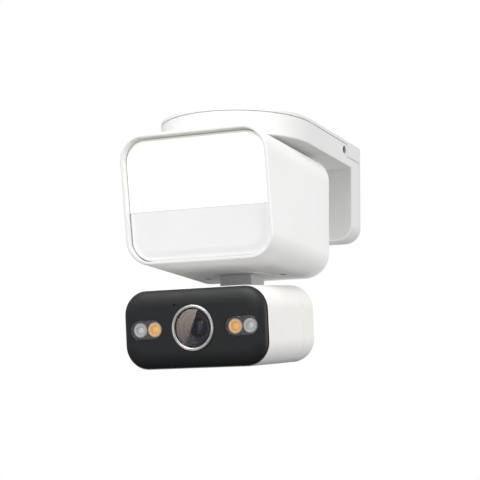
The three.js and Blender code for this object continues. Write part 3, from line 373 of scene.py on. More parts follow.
def diffuser():
    # Opal polycarbonate lit from behind: an even, slightly warm white.
    return moulded("Opal polycarbonate, lit", "#FFFFFB", "#FFFFFA", 0.34, ior=1.58, **glow("#FFFFF0", 0.22))


def panel_white():
    # Thin polyethylene over the motion sensor: smoother and brighter than the shell around it.
    return moulded("Polyethylene moulded, sensor cover", "#F8F8F8", "#F5F5F5", 0.36, ior=1.53)


def panel_black():
    # Black polycarbonate with a satin hard coat: broad soft reflections over a near-black body.
    return moulded("Polycarbonate satin, black", "#111417", "#0F1214", 0.5, grain=0.9, bump=0.006, ior=1.46)


def dark_plastic():
    # Glass-filled nylon: a dead matt black with a slightly coarse surface from the fibres.
    return moulded("Nylon glass-filled, black", "#1B1C1E", "#151617", 0.6, grain=0.7, bump=0.02, ior=1.53)


def white_inner():
    # Highly reflective white polycarbonate inside the light box: bright and even, nearly without gloss.
    return moulded("Polycarbonate reflector white", "#F4F4F2", "#F0F0EE", 0.62, ior=1.58)


def gear_white():
    # Acetal: a waxy off-white that takes soft, slightly greasy highlights.
    return moulded("Acetal moulded", "#E6E2D6", "#DDD8CA", 0.38, ior=1.48, bump=0.006)


def seal_rubber():
    # Black silicone: soft, dusty and without a clear highlight.
    return moulded("Silicone moulded, black", "#262728", "#1E1F20", 0.72, ior=1.41, bump=0.02)


def flap_rubber():
    # Grey-white silicone: a soft, slightly dusty skin beside the harder shell.
    return moulded("Silicone moulded, pale", "#D9D9D6", "#D0D0CD", 0.66, ior=1.41, bump=0.02)


def clear(name, tint, bloom, ior, size, low, high, veil):
    """A pane that lets light straight through its tint, mirrors some and scatters a thin veil of it."""
    material, tree, place = started(name)
    haze = add(tree, "TexNoise", {"Vector": place, "Scale": every(size), "Detail": 3})
    gloss = add(tree, "MapRange", {"Value": haze.outputs["Fac"], "To Min": low, "To Max": high})
    inside = add(tree, "BsdfTransparent", {"Color": colour(tint)})
    mirror = add(tree, "BsdfGlossy", {"Color": colour(bloom), "Roughness": gloss.outputs["Result"]})
    share = add(tree, "Fresnel", {"IOR": ior})
    dust = add(tree, "BsdfDiffuse", {"Color": colour("#E8EAEC")})
    body = add(tree, "MixShader", {"Fac": veil, 1: inside.outputs[0], 2: dust.outputs[0]})
    mixed = add(tree, "MixShader", {"Fac": share.outputs[0], 1: body.outputs[0], 2: mirror.outputs[0]})
    add(tree, "OutputMaterial", {"Surface": mixed.outputs[0]})
    return material


def window_clear():
    # Clear acrylic with a light smoke tint: what lies behind it shows through a grey veil.
    return clear("Acrylic clear, light smoke", "#DEDFE0", "#FFFFFF", 1.49, 4, 0.03, 0.09, 0.06)


def lens_glass():
    # Coated optical glass: clear, with a faint brownish bloom where it catches the light.
    return clear("Optical glass, coated", "#E6E9EE", "#F0E8E0", 1.52, 9, 0.0, 0.006, 0.002)


def metal(name, shade, deep, roughness, spread=0.05, grain=3.0, bump=0.004, stretch=(1, 1, 1), **more):
    """A bare or plated metal: tone and gloss wander, and fine marks run the way it was worked."""
    material, tree, place = started(name)
    worked = add(tree, "Mapping", {"Vector": place, "Scale": stretch})
    marks = add(tree, "TexNoise", {"Vector": worked.outputs["Vector"], "Scale": every(grain), "Detail": 4})
    tone = add(tree, "ValToRGB", {"Fac": marks.outputs["Fac"]},
               stops=[(0.3, colour(deep)), (0.7, colour(shade))])
    gloss = add(tree, "MapRange", {"Value": marks.outputs["Fac"], "From Min": 0.25, "From Max": 0.75,
                                   "To Min": roughness - spread, "To Max": roughness + spread})
    relief = add(tree, "Bump", {"Height": marks.outputs["Fac"], "Strength": 0.3, "Distance": bump * MM})
    inputs = {"Base Color": tone.outputs["Color"], "Metallic": 1.0, "Roughness": gloss.outputs["Result"],
              "Normal": relief.outputs["Normal"]}
    inputs.update(more)
    return finished(material, tree, inputs)


def ring_silver():
    # Spun aluminium, clear anodised: a satin silver-white band with fine turning lines.
    return metal("Aluminium spun and anodised", "#E2E2E1", "#D2D2D2", 0.3, grain=0.8)


def reflector_silver():
    # Vacuum-metallised cup: a broken mirror. A little light of its own stands in for its many glints.
    return metal("Metallised reflector", "#F6F7F8", "#B6B8BA", 0.42, spread=0.08, grain=0.9, bump=0.12,
                 **glow("#D6D5D2", 0.36))


def rim_painted_glow():
    # The pale edge of the phosphor round the cup's mouth, with a painted glow: a painted highlight ring.
    return moulded("Phosphor edge, pale", "#F6DDB4", "#F2D8AE", 0.26, grain=0.8, bump=0.02, ior=1.41,
                   **glow("#F8DDB2", 1.0))


def chip_clear_painted_glow():
    # Clear silicone over the infrared chip, with a painted glow: a small bright spot in the middle of the cup, and
    # a bright roll round its mouth, both painted highlights.
    return moulded("Silicone dome, clear", "#F2F4F5", "#D8DADC", 0.2, grain=0.8, bump=0.01, ior=1.41,
                   **glow("#F4F4F2", 0.75))


def reflector_amber():
    # Yellow phosphor under clear silicone: a pale orange, with a painted glow that makes it bright enough to read
    # through the pane.
    return moulded("Phosphor under silicone", "#F0CB9A", "#E8B97A", 0.28, grain=0.8, bump=0.03, ior=1.41,
                   **glow("#E4B676", 0.7))


def phosphor_core_painted_glow():
    # The chip's own phosphor dome: a deeper, saturated yellow in the middle of the paler ring, with a painted glow
    # that makes it bright.
    return moulded("Phosphor dome", "#F5B81E", "#EFA80F", 0.2, grain=0.8, bump=0.01, ior=1.41,
                   **glow("#F6BE34", 1.2))


def steel():
    # Zinc-plated steel: a cool grey metal with faint cloudy plating.
    return metal("Steel zinc-plated", "#BFC1C3", "#A5A7AA", 0.34)


def steel_painted_shade():
    # Steel screw heads darkened to a dull near-black: painted shade, so that each sits dark in its hole.
    return metal("Steel darkened, painted shade", "#3A3B3D", "#2C2D2F", 0.45)


def trap_black():
    # Satin dark nylon of the light trap: its step edges catch thin grey arcs.
    return moulded("Nylon satin, light trap", "#4A4A4C", "#3E3E40", 0.3, grain=0.9, bump=0.004, ior=1.53)


def trap_painted_highlight():
    # The same nylon, paler and shinier on the step edges: a painted highlight, the thin arcs of light that the
    # edges catch.
    return moulded("Nylon satin, painted highlight edge", "#8A8886", "#767472", 0.3, grain=0.9, bump=0.004, ior=1.53)


def coated_element_painted_glint():
    # The inner element's blue-violet coating, with a painted glow: a painted glint, the one coloured glint deep in
    # the lens.
    return moulded("Optical glass, blue coating", "#20304E", "#182540", 0.08, grain=0.9, bump=0.001, ior=1.7,
                   **glow("#5878A8", 0.25))


def aluminium():
    # Extruded aluminium: long pale draw lines along the part.
    return metal("Aluminium extruded", "#CDCFD1", "#B8BABD", 0.38, stretch=(1, 0.1, 1), grain=1.2)


def brass():
    # Turned brass: warm yellow with a soft satin from the lathe.
    return metal("Brass turned", "#CBAA58", "#B39243", 0.3)


def circuit(name, mask, track):
    """A glass-fibre board under solder mask: tracks show as slightly paler raised lines."""
    material, tree, place = started(name)
    lanes = add(tree, "TexBrick", {"Vector": place, "Scale": every(40), "Color1": colour(mask),
                                   "Color2": colour(track), "Mortar": colour(mask), "Mortar Size": 0.02,
                                   "Brick Width": 0.35, "Row Height": 0.06})
    relief = add(tree, "Bump", {"Height": lanes.outputs["Fac"], "Strength": 0.4, "Distance": 0.03 * MM})
    haze = add(tree, "TexNoise", {"Vector": place, "Scale": every(8), "Detail": 3})
    gloss = add(tree, "MapRange", {"Value": haze.outputs["Fac"], "To Min": 0.3, "To Max": 0.45})
    return finished(material, tree, {
        "Base Color": lanes.outputs["Color"], "Roughness": gloss.outputs["Result"],
        "Normal": relief.outputs["Normal"], "IOR": 1.55})


def circuit_board():
    # Green solder mask: a glassy dark green with lighter tracks under it.
    return circuit("Solder mask, green", "#174A30", "#22623F")


def black_board():
    # Black solder mask: keeps stray light down behind the windows.
    return circuit("Solder mask, black", "#17191A", "#232627")


def cell_wrap():
    # Heat-shrunk PVC sleeve: a glossy blue film with slight puckers.
    return moulded("PVC heat-shrunk, blue", "#4A88B8", "#3D79A8", 0.25, grain=5, bump=0.05, ior=1.54)


for maker in (bracket_white, lamp_white, camera_white, neck_grey, diffuser, panel_white, panel_black,
              dark_plastic, white_inner, window_clear, lens_glass, ring_silver, reflector_silver,
              reflector_amber, steel, aluminium, circuit_board, black_board, brass, gear_white, seal_rubber,
              flap_rubber, cell_wrap, phosphor_core_painted_glow, rim_painted_glow, chip_clear_painted_glow, steel_painted_shade, trap_black,
              trap_painted_highlight, coated_element_painted_glint):
    FINISHES[maker.__name__] = maker()

for node, part in frame["nodes"].items():
    part.data.materials.clear()
    part.data.materials.append(FINISHES[SLOT_OF[node]])


# ---- Bracket ----------------------------------------------------------------------------------

def bent_body(profile, half, arc_y, corner, low):
    """A solid over an L-shaped side profile. Its arm has a round front end and its plate round lower corners.

    profile holds (y, z) pairs from the arm's lower front point to its upper one. The two that lie at the
    height of the lower corners' centres start the round corners.
    """
    surface = bmesh.new()
    right = [surface.verts.new((half, y, z)) for y, z in profile]
    left = [surface.verts.new((-half, y, z)) for y, z in profile]
    last = len(profile) - 1
    bottom = [spot for spot, (y, z) in enumerate(profile) if abs(z - (low + corner)) < 0.001]
    arcs = {}
    for spot in (0, last):
        height = profile[spot][1]
        turns = [-math.pi * step / 48 for step in range(1, 48)]
        arcs[spot] = [surface.verts.new((half * math.cos(turn), arc_y + half * math.sin(turn), height))
                      for turn in turns]
    for spot in bottom:
        turns = [-math.pi / 2 * step / 12 for step in range(1, 13)]
        near = [(half - corner + corner * math.cos(turn), low + corner + corner * math.sin(turn))
                for turn in turns]
        points = near + [(-x, z) for x, z in reversed(near)]
        arcs[spot] = [surface.verts.new((x, profile[spot][0], z)) for x, z in points]
    surface.faces.new(right)
    surface.faces.new(left)
    for here in range(len(profile)):
        there = (here + 1) % len(profile)
        if here in arcs and there in arcs:
            first = [right[here], *arcs[here], left[here]]
            second = [right[there], *arcs[there], left[there]]
            for a, b, c, d in zip(first, first[1:], second[1:], second):
                surface.faces.new((a, b, c, d))
        else:
            surface.faces.new([right[here], right[there], *arcs.get(there, []), left[there], left[here],
                               *reversed(arcs.get(here, []))])
    return tidy(surface)


PLATE_LOW, PLATE_HIGH = corners("mount_plate")
HOUSING_LOW, HOUSING_HIGH = corners("bracket_housing")
HALF = PLATE_HIGH.x
ROUND_END = PLATE_LOW.y + HALF
TOP = PLATE_HIGH.z
ARM_UNDER = corners("swivel_washer")[1].z + FIT
SEAT = PLATE_LOW.z + BRACKET["corner"]
BLOCK_FRONT, BLOCK_LOW = -BRACKET["block"][0], TOP - BRACKET["block"][1]
LID_UNDER = TOP - BRACKET["lid"]


def screw_hole(x, y, z, axis):
    """A cutter for a screw hole, countersunk on the side that the screw comes from."""
    depth = BRACKET["lid"]
    radius, head, sink = SCREW_HOLE["radius"], SCREW_HOLE["head"], SCREW_HOLE["sink"]
    profile = [(head, -depth - 3), (head, -depth - FIT / 2), (radius, sink - depth), (radius, 1)]
    return turned(profile, axis, (x, y, z), steps=32)


def mount_plate():
    lid = BRACKET["lid"]
    shell = bent_body([
        (ROUND_END, LID_UNDER), (BLOCK_FRONT, LID_UNDER), (BLOCK_FRONT, BLOCK_LOW), (-lid, BLOCK_LOW),
        (-lid, SEAT), (0, SEAT), (0, TOP), (ROUND_END, TOP),
    ], HALF, ROUND_END, BRACKET["corner"], PLATE_LOW.z)
    soften(shell, BRACKET["edge"] / 2)
    holes = []
    for x in (-SCREW_HOLE["x"], SCREW_HOLE["x"]):
        holes += [screw_hole(x, 0, z, "y") for z in SCREW_HOLE["wall"]]
        holes += [screw_hole(x, y, TOP, "z") for y in SCREW_HOLE["ceiling"]]
    wall = BRACKET["wall"]
    hollow = block((wall - HALF, BLOCK_FRONT + wall, BLOCK_LOW - 1), (HALF - wall, -wall, TOP - lid))
    lock_low, lock_high = corners("bracket_lock_screw")
    lock = (lock_low + lock_high) / 2
    side = HALF - wall - FIT
    half = LOCK["half"]
    lug = block((side - LOCK["lug"], lock.y - half, lock.z - half), (side, lock.y + half, TOP - lid / 2))
    pilot = rod(LOCK["pilot"], side - LOCK["reach"], side + 1, "x", (0, lock.y, lock.z), steps=24)
    return cut(fuse(cut(shell, hollow), lug), pilot, *holes)


def bracket_housing():
    wall, plate, lid, corner = BRACKET["wall"], BRACKET["plate"], BRACKET["lid"], BRACKET["corner"]
    top, rear = LID_UNDER - FIT, -lid - FIT
    outer = bent_body([
        (ROUND_END, ARM_UNDER), (-plate, ARM_UNDER), (-plate, SEAT), (rear, SEAT), (rear, BLOCK_LOW - FIT),
        (BLOCK_FRONT - FIT, BLOCK_LOW - FIT), (BLOCK_FRONT - FIT, top), (ROUND_END, top),
    ], HALF, ROUND_END, corner, PLATE_LOW.z)
    soften(outer, BRACKET["edge"])
    hollow = bent_body([
        (ROUND_END, ARM_UNDER + wall), (wall - plate, ARM_UNDER + wall), (wall - plate, SEAT), (1, SEAT),
        (1, TOP + 1), (ROUND_END, TOP + 1),
    ], HALF - wall, ROUND_END, corner - wall, PLATE_LOW.z + wall)
    centre = (0, ROUND_END, 0)
    hole, rim, high = SWIVEL["hole"], SWIVEL["collar"], ARM_UNDER + SWIVEL["height"]
    collar = turned([(hole, ARM_UNDER + 1), (rim, ARM_UNDER + 1), (rim, high), (hole, high)],
                    "z", centre, closed=True)
    lock_low, lock_high = corners("bracket_lock_screw")
    lock = (lock_low + lock_high) / 2
    well = rod(LOCK["well"], HALF - 2 * wall, HALF + 1, "x", (0, lock.y, lock.z), steps=32)
    shaft = rod(hole, ARM_UNDER - 1, high + 1, "z", centre)
    return cut(fuse(cut(outer, hollow), collar), shaft, well)


def lock_screw():
    low, high = corners("bracket_lock_screw")
    middle = (low + high) / 2
    seat, top = high.x - 1.5, high.x
    profile = [(0, low.x), (1.1, low.x), (1.4, low.x + 0.5), (1.4, seat), (2.9, seat)]
    profile += [(2.9 - inset, top - depth) for inset, depth in reversed(soft_edge(0.5, 0.4, 4))] + [(0, top)]
    screw = turned(profile, "x", (0, middle.y, middle.z), steps=40)
    socket = slab(circle(1.4, 6), top - 0.9, top + 1, "x", (0, middle.y, middle.z))
    return cut(screw, socket)


piece("mount_plate", mount_plate())
piece("bracket_housing", bracket_housing())
# The lock screw's darkened finish is painted shade.
piece("bracket_lock_screw", lock_screw(), finish="steel_painted_shade")


# ---- Lamp head --------------------------------------------------------------------------------

LAMP_LOW, LAMP_HIGH = corners("lamp_shell")
LAMP_WIDTH = LAMP_HIGH.x - LAMP_LOW.x
LAMP_HEIGHT = LAMP_HIGH.z - LAMP_LOW.z
LAMP_MID = (LAMP_LOW.z + LAMP_HIGH.z) / 2
LAMP_REAR = LAMP_HIGH.y
LAMP_FRONT = LAMP_LOW.y + LAMP["lean"] * LAMP_HEIGHT / 2
SEAM_Z = (corners("sensor_panel")[1].z + corners("light_diffuser")[0].z) / 2


def lamp_ring(inset, depth=None, y=None):
    """The lamp's outline, set in, at a depth behind its leaning front or at a fixed y."""
    pairs = rounded(LAMP_WIDTH - 2 * inset, LAMP_HEIGHT - 2 * inset, LAMP["corner"] - inset)
    if y is None:
        return lay(pairs, lambda u, v: LAMP_FRONT - LAMP["lean"] * v + depth, centre=(0, 0, LAMP_MID))
    return lay(pairs, y, centre=(0, 0, LAMP_MID))


FLAP_LOW, FLAP_HIGH = corners("port_flap")
FLAP_MID = (FLAP_LOW + FLAP_HIGH) / 2
BUTTON_MID = sum(corners("power_button"), Vector()) / 2
PAN_AXIS = joint_place("pan")


def lamp_shell():
    wall, inner = LAMP["wall"], LAMP_REAR - LAMP["wall"]
    rings = [lamp_ring(wall, y=inner)]
    inner_lip, lip, fillet = (soft_edge(LAMP[edge], LAMP[edge], steps)
                              for edge, steps in (("inner_lip", 3), ("lip", 4), ("rear", 8)))
    rings += [lamp_ring(wall - inset, depth) for inset, depth in reversed(inner_lip)]
    rings += [lamp_ring(inset, depth) for inset, depth in lip]
    rings += [lamp_ring(inset, y=LAMP_REAR - depth) for inset, depth in reversed(fillet)]
    shell = skin(rings)
    flap_x = FLAP_MID.x
    pad_x = (flap_x + BUTTON_MID.x) / 2
    margins = 2 * FLAP["margin"]
    pad_width, pad_height = 2 * (flap_x - pad_x) + FLAP["width"] + margins, FLAP["height"] + margins
    pad = slab(rounded(pad_width, pad_height, FLAP["corner"]),
               inner - FLAP["depth"], inner + 1, centre=(pad_x, 0, BUTTON_MID.z))
    under = (0, PAN_AXIS.y, 0)
    low = LAMP_LOW.z
    disc_low, disc_high = corners("pan_disc")
    recess = (disc_high.x - disc_low.x) / 2 + SEAM
    tools = [
        slab(rounded(FLAP["width"] + 2 * FIT, FLAP["height"] + 2 * FIT, FLAP["corner"]),
             LAMP_REAR - FLAP["depth"], LAMP_REAR + 1, centre=(flap_x, 0, BUTTON_MID.z)),
        slab(rounded(*SOCKET_MOUTH, SOCKET_MOUTH[1] / 2), inner - 4, LAMP_REAR,
             centre=(flap_x, 0, BUTTON_MID.z)),
        rod(4.8, LAMP_REAR - 1.8, LAMP_REAR + 1, "y", (BUTTON_MID.x, 0, BUTTON_MID.z), steps=40),
        rod(2.3, inner - 4, LAMP_REAR, "y", (BUTTON_MID.x, 0, BUTTON_MID.z), steps=24),
        rod(SWIVEL["hole"], LAMP_HIGH.z - 5, LAMP_HIGH.z + 1, "z", (0, ROUND_END, 0)),
        rod(17.8, low - 1, low + 4, "z", under),
        turned([(0, low - 1), (recess + FIT, low - 1), (recess + FIT, low), (recess, low + FIT),
                (recess, low + DISC_RECESS), (0, low + DISC_RECESS)], "z", under, steps=96),
    ]
    for node in ("lamp_screw_left", "lamp_screw_right"):
        middle = sum(corners(node), Vector()) / 2
        tools.append(turned([(3.7, low - 1), (3.7, low), (3.3, low + 0.4), (3.3, low + 1.7)], "z",
                            (middle.x, middle.y, 0), steps=40))
        tools.append(rod(1.8, low, low + 4, "z", (middle.x, middle.y, 0), steps=24))
    return cut(fuse(shell, pad), *tools)


def face_plate(upper):
    """The plate above or below the level seam. Its face falls away at the edge, and it clears the rim below."""
    base = LAMP["wall"] + FACE["gap"]
    recess = FACE["recess"]
    rings = [lamp_ring(base + inset, recess + depth) for inset, depth in soft_edge(*FACE["pillow"], 8)]
    rings.append(lamp_ring(base, recess + FACE["thickness"]))
    plate = skin(rings)
    for vert in plate.verts:
        below = max(0, LAMP_MID - vert.co.z) / (LAMP_HEIGHT / 2)
        vert.co.z += FACE["drip"] * below ** 6
    side = 1 if upper else -1
    everything = plate.verts[:] + plate.edges[:] + plate.faces[:]
    bmesh.ops.bisect_plane(plate, geom=everything, plane_co=(0, 0, SEAM_Z + side * SEAM / 2),
                           plane_no=(0, 0, side), clear_inner=True)
    bmesh.ops.contextual_create(plate, geom=[edge for edge in plate.edges if edge.is_boundary])
    tidy(plate)
    return soften(plate, HAIR, 2, 1.0)


def port_flap():
    low, high = FLAP_LOW.y, LAMP_REAR
    pairs = [(inset, high - depth) for inset, depth in reversed(soft_edge(0.5, 0.5, 4))]
    rings = [lay(rounded(FLAP["width"], FLAP["height"], FLAP["corner"]), low)]
    rings += [lay(rounded(FLAP["width"] - 2 * inset, FLAP["height"] - 2 * inset, FLAP["corner"] - inset), y)
              for inset, y in pairs]
    leaf = skin(rings)
    leaf.transform(Matrix.Translation((FLAP_MID.x, 0, BUTTON_MID.z)))
    top = FLAP_HIGH.y
    ridge = [lay(rounded(8, 1.6, 0.7, 5), high - 0.2), lay(rounded(8, 1.6, 0.7, 5), top - 0.3),
             lay(rounded(7.4, 1.0, 0.45, 5), top)]
    grip = skin(ridge)
    grip.transform(Matrix.Translation((FLAP_MID.x, 0, BUTTON_MID.z + FLAP["height"] / 2 - 2.6)))
    return fuse(leaf, grip)


def power_button():
    low, high = corners("power_button")
    radius = (high.x - low.x) / 2
    centre = ((low.x + high.x) / 2, 0, (low.z + high.z) / 2)
    body_low = LAMP_REAR - 1.8 + 0.8 + FIT
    profile = [(0, low.y), (1.8, low.y), (2, low.y + 0.2), (2, body_low), (radius, body_low)]
    profile += [(radius - inset, high.y - depth) for inset, depth in reversed(soft_edge(0.4, 0.35, 4))]
    profile += [(2.4, high.y), (2.0, high.y - 0.2), (0, high.y - 0.3)]
    return turned(profile, "y", centre)


def cross_screw(node, axis, head, shank, height):
    """A pan-head screw with a cross recess. Its head is at its low end on z and its high end on y."""
    low, high = corners(node) if axis == "z" else camera_corners(node)
    centre = (low + high) / 2
    centre[2 if axis == "z" else 1] = 0
    top, tip = (low.z, high.z) if axis == "z" else (high.y, low.y)
    into = 1 if axis == "z" else -1
    profile = [(0, top)] + [(head - inset, top + into * depth) for inset, depth in soft_edge(0.7, 0.5, 5)]
    profile += [(head, top + into * height), (shank, top + into * height)]
    thread = int(abs(tip - top) / 0.9) - 2
    for turn in range(thread):
        start = top + into * (height + 0.6 + turn * 0.9)
        profile += [(shank - 0.25, start), (shank, start + into * 0.35), (shank, start + into * 0.5)]
    profile += [(shank - 0.4, tip - into * 0.4), (0, tip)]
    screw = turned(profile, axis, centre, steps=40)
    arm, thin = head * 0.6, head * 0.13
    ends = sorted((top - into, top + into * 0.6))
    bars = []
    for wide, narrow in ((arm, thin), (thin, arm)):
        if axis == "z":
            bars.append(block((centre.x - wide, centre.y - narrow, ends[0]),
                              (centre.x + wide, centre.y + narrow, ends[1])))
        else:
            bars.append(block((centre.x - wide, ends[0], centre.z - narrow),
                              (centre.x + wide, ends[1], centre.z + narrow)))
    return cut(screw, *bars)


piece("lamp_shell", lamp_shell())
piece("light_diffuser", face_plate(True))
piece("sensor_panel", face_plate(False))
piece("port_flap", port_flap())
piece("power_button", power_button())
for lamp_screw in ("lamp_screw_left", "lamp_screw_right"):
    # The screws' darkened finish is painted shade.
    piece(lamp_screw, cross_screw(lamp_screw, "z", 3, 1.5, 1), finish="steel_painted_shade")


# ---- Pan stage --------------------------------------------------------------------------------

def pan_disc():
    low, high = corners("pan_disc")
    radius = (high.x - low.x) / 2
    top = LAMP_LOW.z + DISC_RECESS - SEAM
    shoulder = high.z - 4
    profile = [(8, low.z)] + [(radius - inset, low.z + depth) for inset, depth in soft_edge(0.3, 0.3, 4)]
    profile += [(radius, top - 0.2), (radius - 0.2, top), (15, top), (15, shoulder), (13, shoulder),
                (13, high.z), (8, high.z)]
    return turned(profile, "z", (0, PAN_AXIS.y, 0), closed=True, steps=96)


def neck_arm():
    low, high = corners("neck_arm")
    width, depth = high.x - low.x, NECK["depth"]
    rings = [lay(rounded(width, depth, NECK["corner"]), TILT_AXIS.z - 2, "z"),
             lay(rounded(width, depth, NECK["corner"]), high.z, "z")]
    post = skin(rings)
    post.transform(Matrix.Translation((0, PAN_AXIS.y, 0)))
    hub = rod(NECK["hub"], -width / 2, width / 2, "x", (0, TILT_AXIS.y, TILT_AXIS.z), edge=0.6, steps=96)
    bore = rod(NECK["bore"], -width, width, "x", (0, TILT_AXIS.y, TILT_AXIS.z), steps=48)
    return cut(fuse(post, hub), bore)


piece("pan_disc", pan_disc(), finish="lamp_white")
piece("neck_arm", neck_arm())


# ---- Camera, in its own frame ------------------------------------------------------------------

SHELL_LOW, SHELL_HIGH = camera_corners("camera_shell")
COVER_LOW, COVER_HIGH = camera_corners("camera_rear_cover")
PANEL_LOW, PANEL_HIGH = camera_corners("front_panel")
RING_LOW, RING_HIGH = camera_corners("lens_ring")
CAMERA_WIDTH = SHELL_HIGH.x - SHELL_LOW.x
CAMERA_HEIGHT = SHELL_HIGH.z - SHELL_LOW.z


def camera_ring(inset, y):
    return lay(rounded(CAMERA_WIDTH - 2 * inset, CAMERA_HEIGHT - 2 * inset, CAMERA["corner"] - inset, 14), y)


def camera_shell():
    """The open front shell. Its rear edge is broken wider than the cover's, so that the seam shows."""
    wall, lip, front, rear = CAMERA["wall"], CAMERA["lip"], SHELL_LOW.y, SHELL_HIGH.y
    step = front + CAMERA["lip_depth"]
    rings = [camera_ring(RIM_BREAK, rear), camera_ring(0, rear - RIM_BREAK)]
    rings += [camera_ring(inset, front + depth) for inset, depth in reversed(soft_edge(0.45, 0.45, 3))]
    rings += [camera_ring(lip - 0.2, front), camera_ring(lip, front + 0.2), camera_ring(lip, step),
              camera_ring(wall, step), camera_ring(wall, rear)]
    shell = skin(rings, closed=True)
    pitch, rows = SPEAKER_HOLES["pitch"], SPEAKER_HOLES["rows"]
    holes = []
    for row in range(rows):
        for column in range(rows):
            x = SPEAKER_HOLES["x"] + (column - (rows - 1) / 2) * pitch
            y = SPEAKER_HOLES["y"] + (row - (rows - 1) / 2) * pitch
            holes.append(rod(SPEAKER_HOLES["radius"], SHELL_LOW.z - 1, SHELL_LOW.z + 4, "z", (x, y, 0),
                             steps=20))
    return cut(shell, gather(*holes))


def slot_tool(grow, half, reach=80):
    """The space that the neck moves in: round below the axis, open above and behind."""
    radius, front = SLOT["radius"] + grow, -SLOT["front"] - grow
    turns = [math.pi * (1 + step / 32) for step in range(17)]
    pairs = [(front, reach), (front, 0)]
    pairs += [(radius * math.cos(turn), radius * math.sin(turn)) for turn in turns]
    pairs += [(reach, -radius), (reach, reach)]
    return slab(pairs, -half, half, "x")


def rear_rings(inset, front, steps=10):
    """Rings of a bar with a soft far end, from its front to the flat of its rear."""
    rings = [camera_ring(inset, front)]
    rear = COVER_HIGH.y - inset
    rings += [camera_ring(inset + across, rear - depth)
              for across, depth in reversed(soft_edge(*CAMERA["soft"], steps))]
    return rings


def rear_cover():
    front = COVER_LOW.y
    inner = list(reversed(rear_rings(CAMERA["wall"], front)))
    outer = rear_rings(0, front + HAIR)
    cover = skin(inner + [camera_ring(HAIR, front)] + outer)
    screws = [sum(camera_corners(node), Vector()) / 2 for node in ("cover_screw_left", "cover_screw_right")]
    bosses = [rod(4, front, COVER_HIGH.y - CAMERA["wall"] / 2, "y", (spot.x, 0, spot.z), steps=40)
              for spot in screws]
    tools = [slot_tool(0, SLOT["half"])]
    for spot in screws:
        tools.append(rod(1.6, front - 1, COVER_HIGH.y + 1, "y", (spot.x, 0, spot.z), steps=32))
        tools.append(rod(2.9, COVER_HIGH.y - 2, COVER_HIGH.y + 1, "y", (spot.x, 0, spot.z), steps=40))
    return cut(fuse(cover, *bosses), *tools)


def tilt_cradle():
    lining = slot_tool(SLOT["wall"], SLOT["half"] + SLOT["wall"])
    inside = skin(rear_rings(CAMERA["wall"] + FIT, -60))
    hollow = slot_tool(0, SLOT["half"])
    bore = rod(NECK["bore"], -40, 40, "x", steps=48)
    return cut(common(lining, inside), hollow, bore)


def front_panel():
    """The black panel: flat in front, falling away to the shell's lip all round."""
    wall, rear = PANEL["wall"], PANEL_HIGH.y
    margin = CAMERA["lip"] + HAIR
    across, depth = PANEL["pillow"]
    outer = [camera_ring(margin, rear)]
    outer += [camera_ring(margin + inset, PANEL_LOW.y + drop)
              for inset, drop in reversed(soft_edge(across, depth, 14))]
    inner = [camera_ring(margin + wall + inset, PANEL_LOW.y + wall + drop)
             for inset, drop in soft_edge(across, depth - wall, 8)]
    inner.append(camera_ring(margin + wall, rear))
    cap = skin(inner + outer)
    outer_radius = (RING_HIGH.x - RING_LOW.x) / 2
    tools = [rod(outer_radius + FIT, -100, -40, "y", steps=96)]
    for node in ("light_window_left", "light_window_right"):
        low, high = camera_corners(node)
        size = high - low
        tools.append(slab(rounded(size.x + 2 * FIT, size.z + 2 * FIT, size.z / 2 + FIT, 16), -100, -40,
                          centre=((low.x + high.x) / 2, 0, 0)))
    for x in (-MARK["x"], MARK["x"]):
        tools.append(rod(MARK["radius"], -100, -40, "y", (x, 0, MARK["z"]), steps=20))
    return cut(cap, *tools)


def lens_ring():
    """A spun ring: two fine grooves run round its front."""
    front, rear = RING_LOW.y, RING_HIGH.y
    outer, inner = (RING_HIGH.x - RING_LOW.x) / 2, LENS["ring"]
    profile = [(outer, rear), (outer, front + 0.35), (outer - 0.1, front + 0.1), (outer - 0.35, front)]
    for groove in (outer - 0.8, outer - 1.35):
        profile += [(groove + 0.1, front), (groove, front + 0.12), (groove - 0.1, front)]
    profile += [(inner + 0.3, front), (inner + 0.08, front + 0.1), (inner, front + 0.35), (inner, rear)]
    return turned(profile, "y", closed=True, steps=128)


def lens_glass():
    low, high = camera_corners("lens_glass")
    radius = (high.x - low.x) / 2
    profile = [(0, low.y), (radius - 0.3, low.y), (radius, low.y + 0.3), (radius, high.y - 0.1), (0, high.y)]
    return turned(profile, "y", steps=96)


def lens_hood():
    """A stepped light trap that narrows towards the lens."""
    low, high = camera_corners("lens_hood")
    mouth = (high.x - low.x) / 2
    throat, steps = LENS["throat"], 6
    drop = (high.y - low.y) / steps
    profile = []
    for step in range(steps):
        radius = mouth - 1 - (mouth - 1 - throat) * step / steps
        after = mouth - 1 - (mouth - 1 - throat) * (step + 1) / steps
        profile += [(radius, low.y + step * drop), (radius, low.y + (step + 0.55) * drop),
                    (after + 0.1, low.y + (step + 0.75) * drop)]
    profile += [(throat, high.y), (throat + 1, high.y), (mouth, low.y + 1), (mouth, low.y)]
    return turned(profile, "y", closed=True, steps=96)


def lens_barrel():
    low, high = camera_corners("lens_barrel")
    outer, inner = (high.x - low.x) / 2, LENS["barrel"]
    front = low.y
    profile = [(outer, high.y), (outer, front + 0.4), (outer - 0.4, front), (inner + 0.9, front),
               (inner + 0.7, front + 0.4), (inner + 0.4, front + 0.4), (inner, front + 0.9), (inner, high.y)]
    return turned(profile, "y", closed=True, steps=96)


def front_lens():
    low, high = camera_corners("front_lens")
    radius = (high.x - low.x) / 2
    crown = LENS["crown"]
    turns = [step / 12 * math.pi / 2 for step in range(13)]
    profile = [(radius * math.cos(turn), low.y + crown * (1 - math.sin(turn))) for turn in turns]
    profile = [(0, high.y), (radius - 0.2, high.y), (radius, high.y - 0.2)] + profile
    return turned(profile, "y", steps=96)


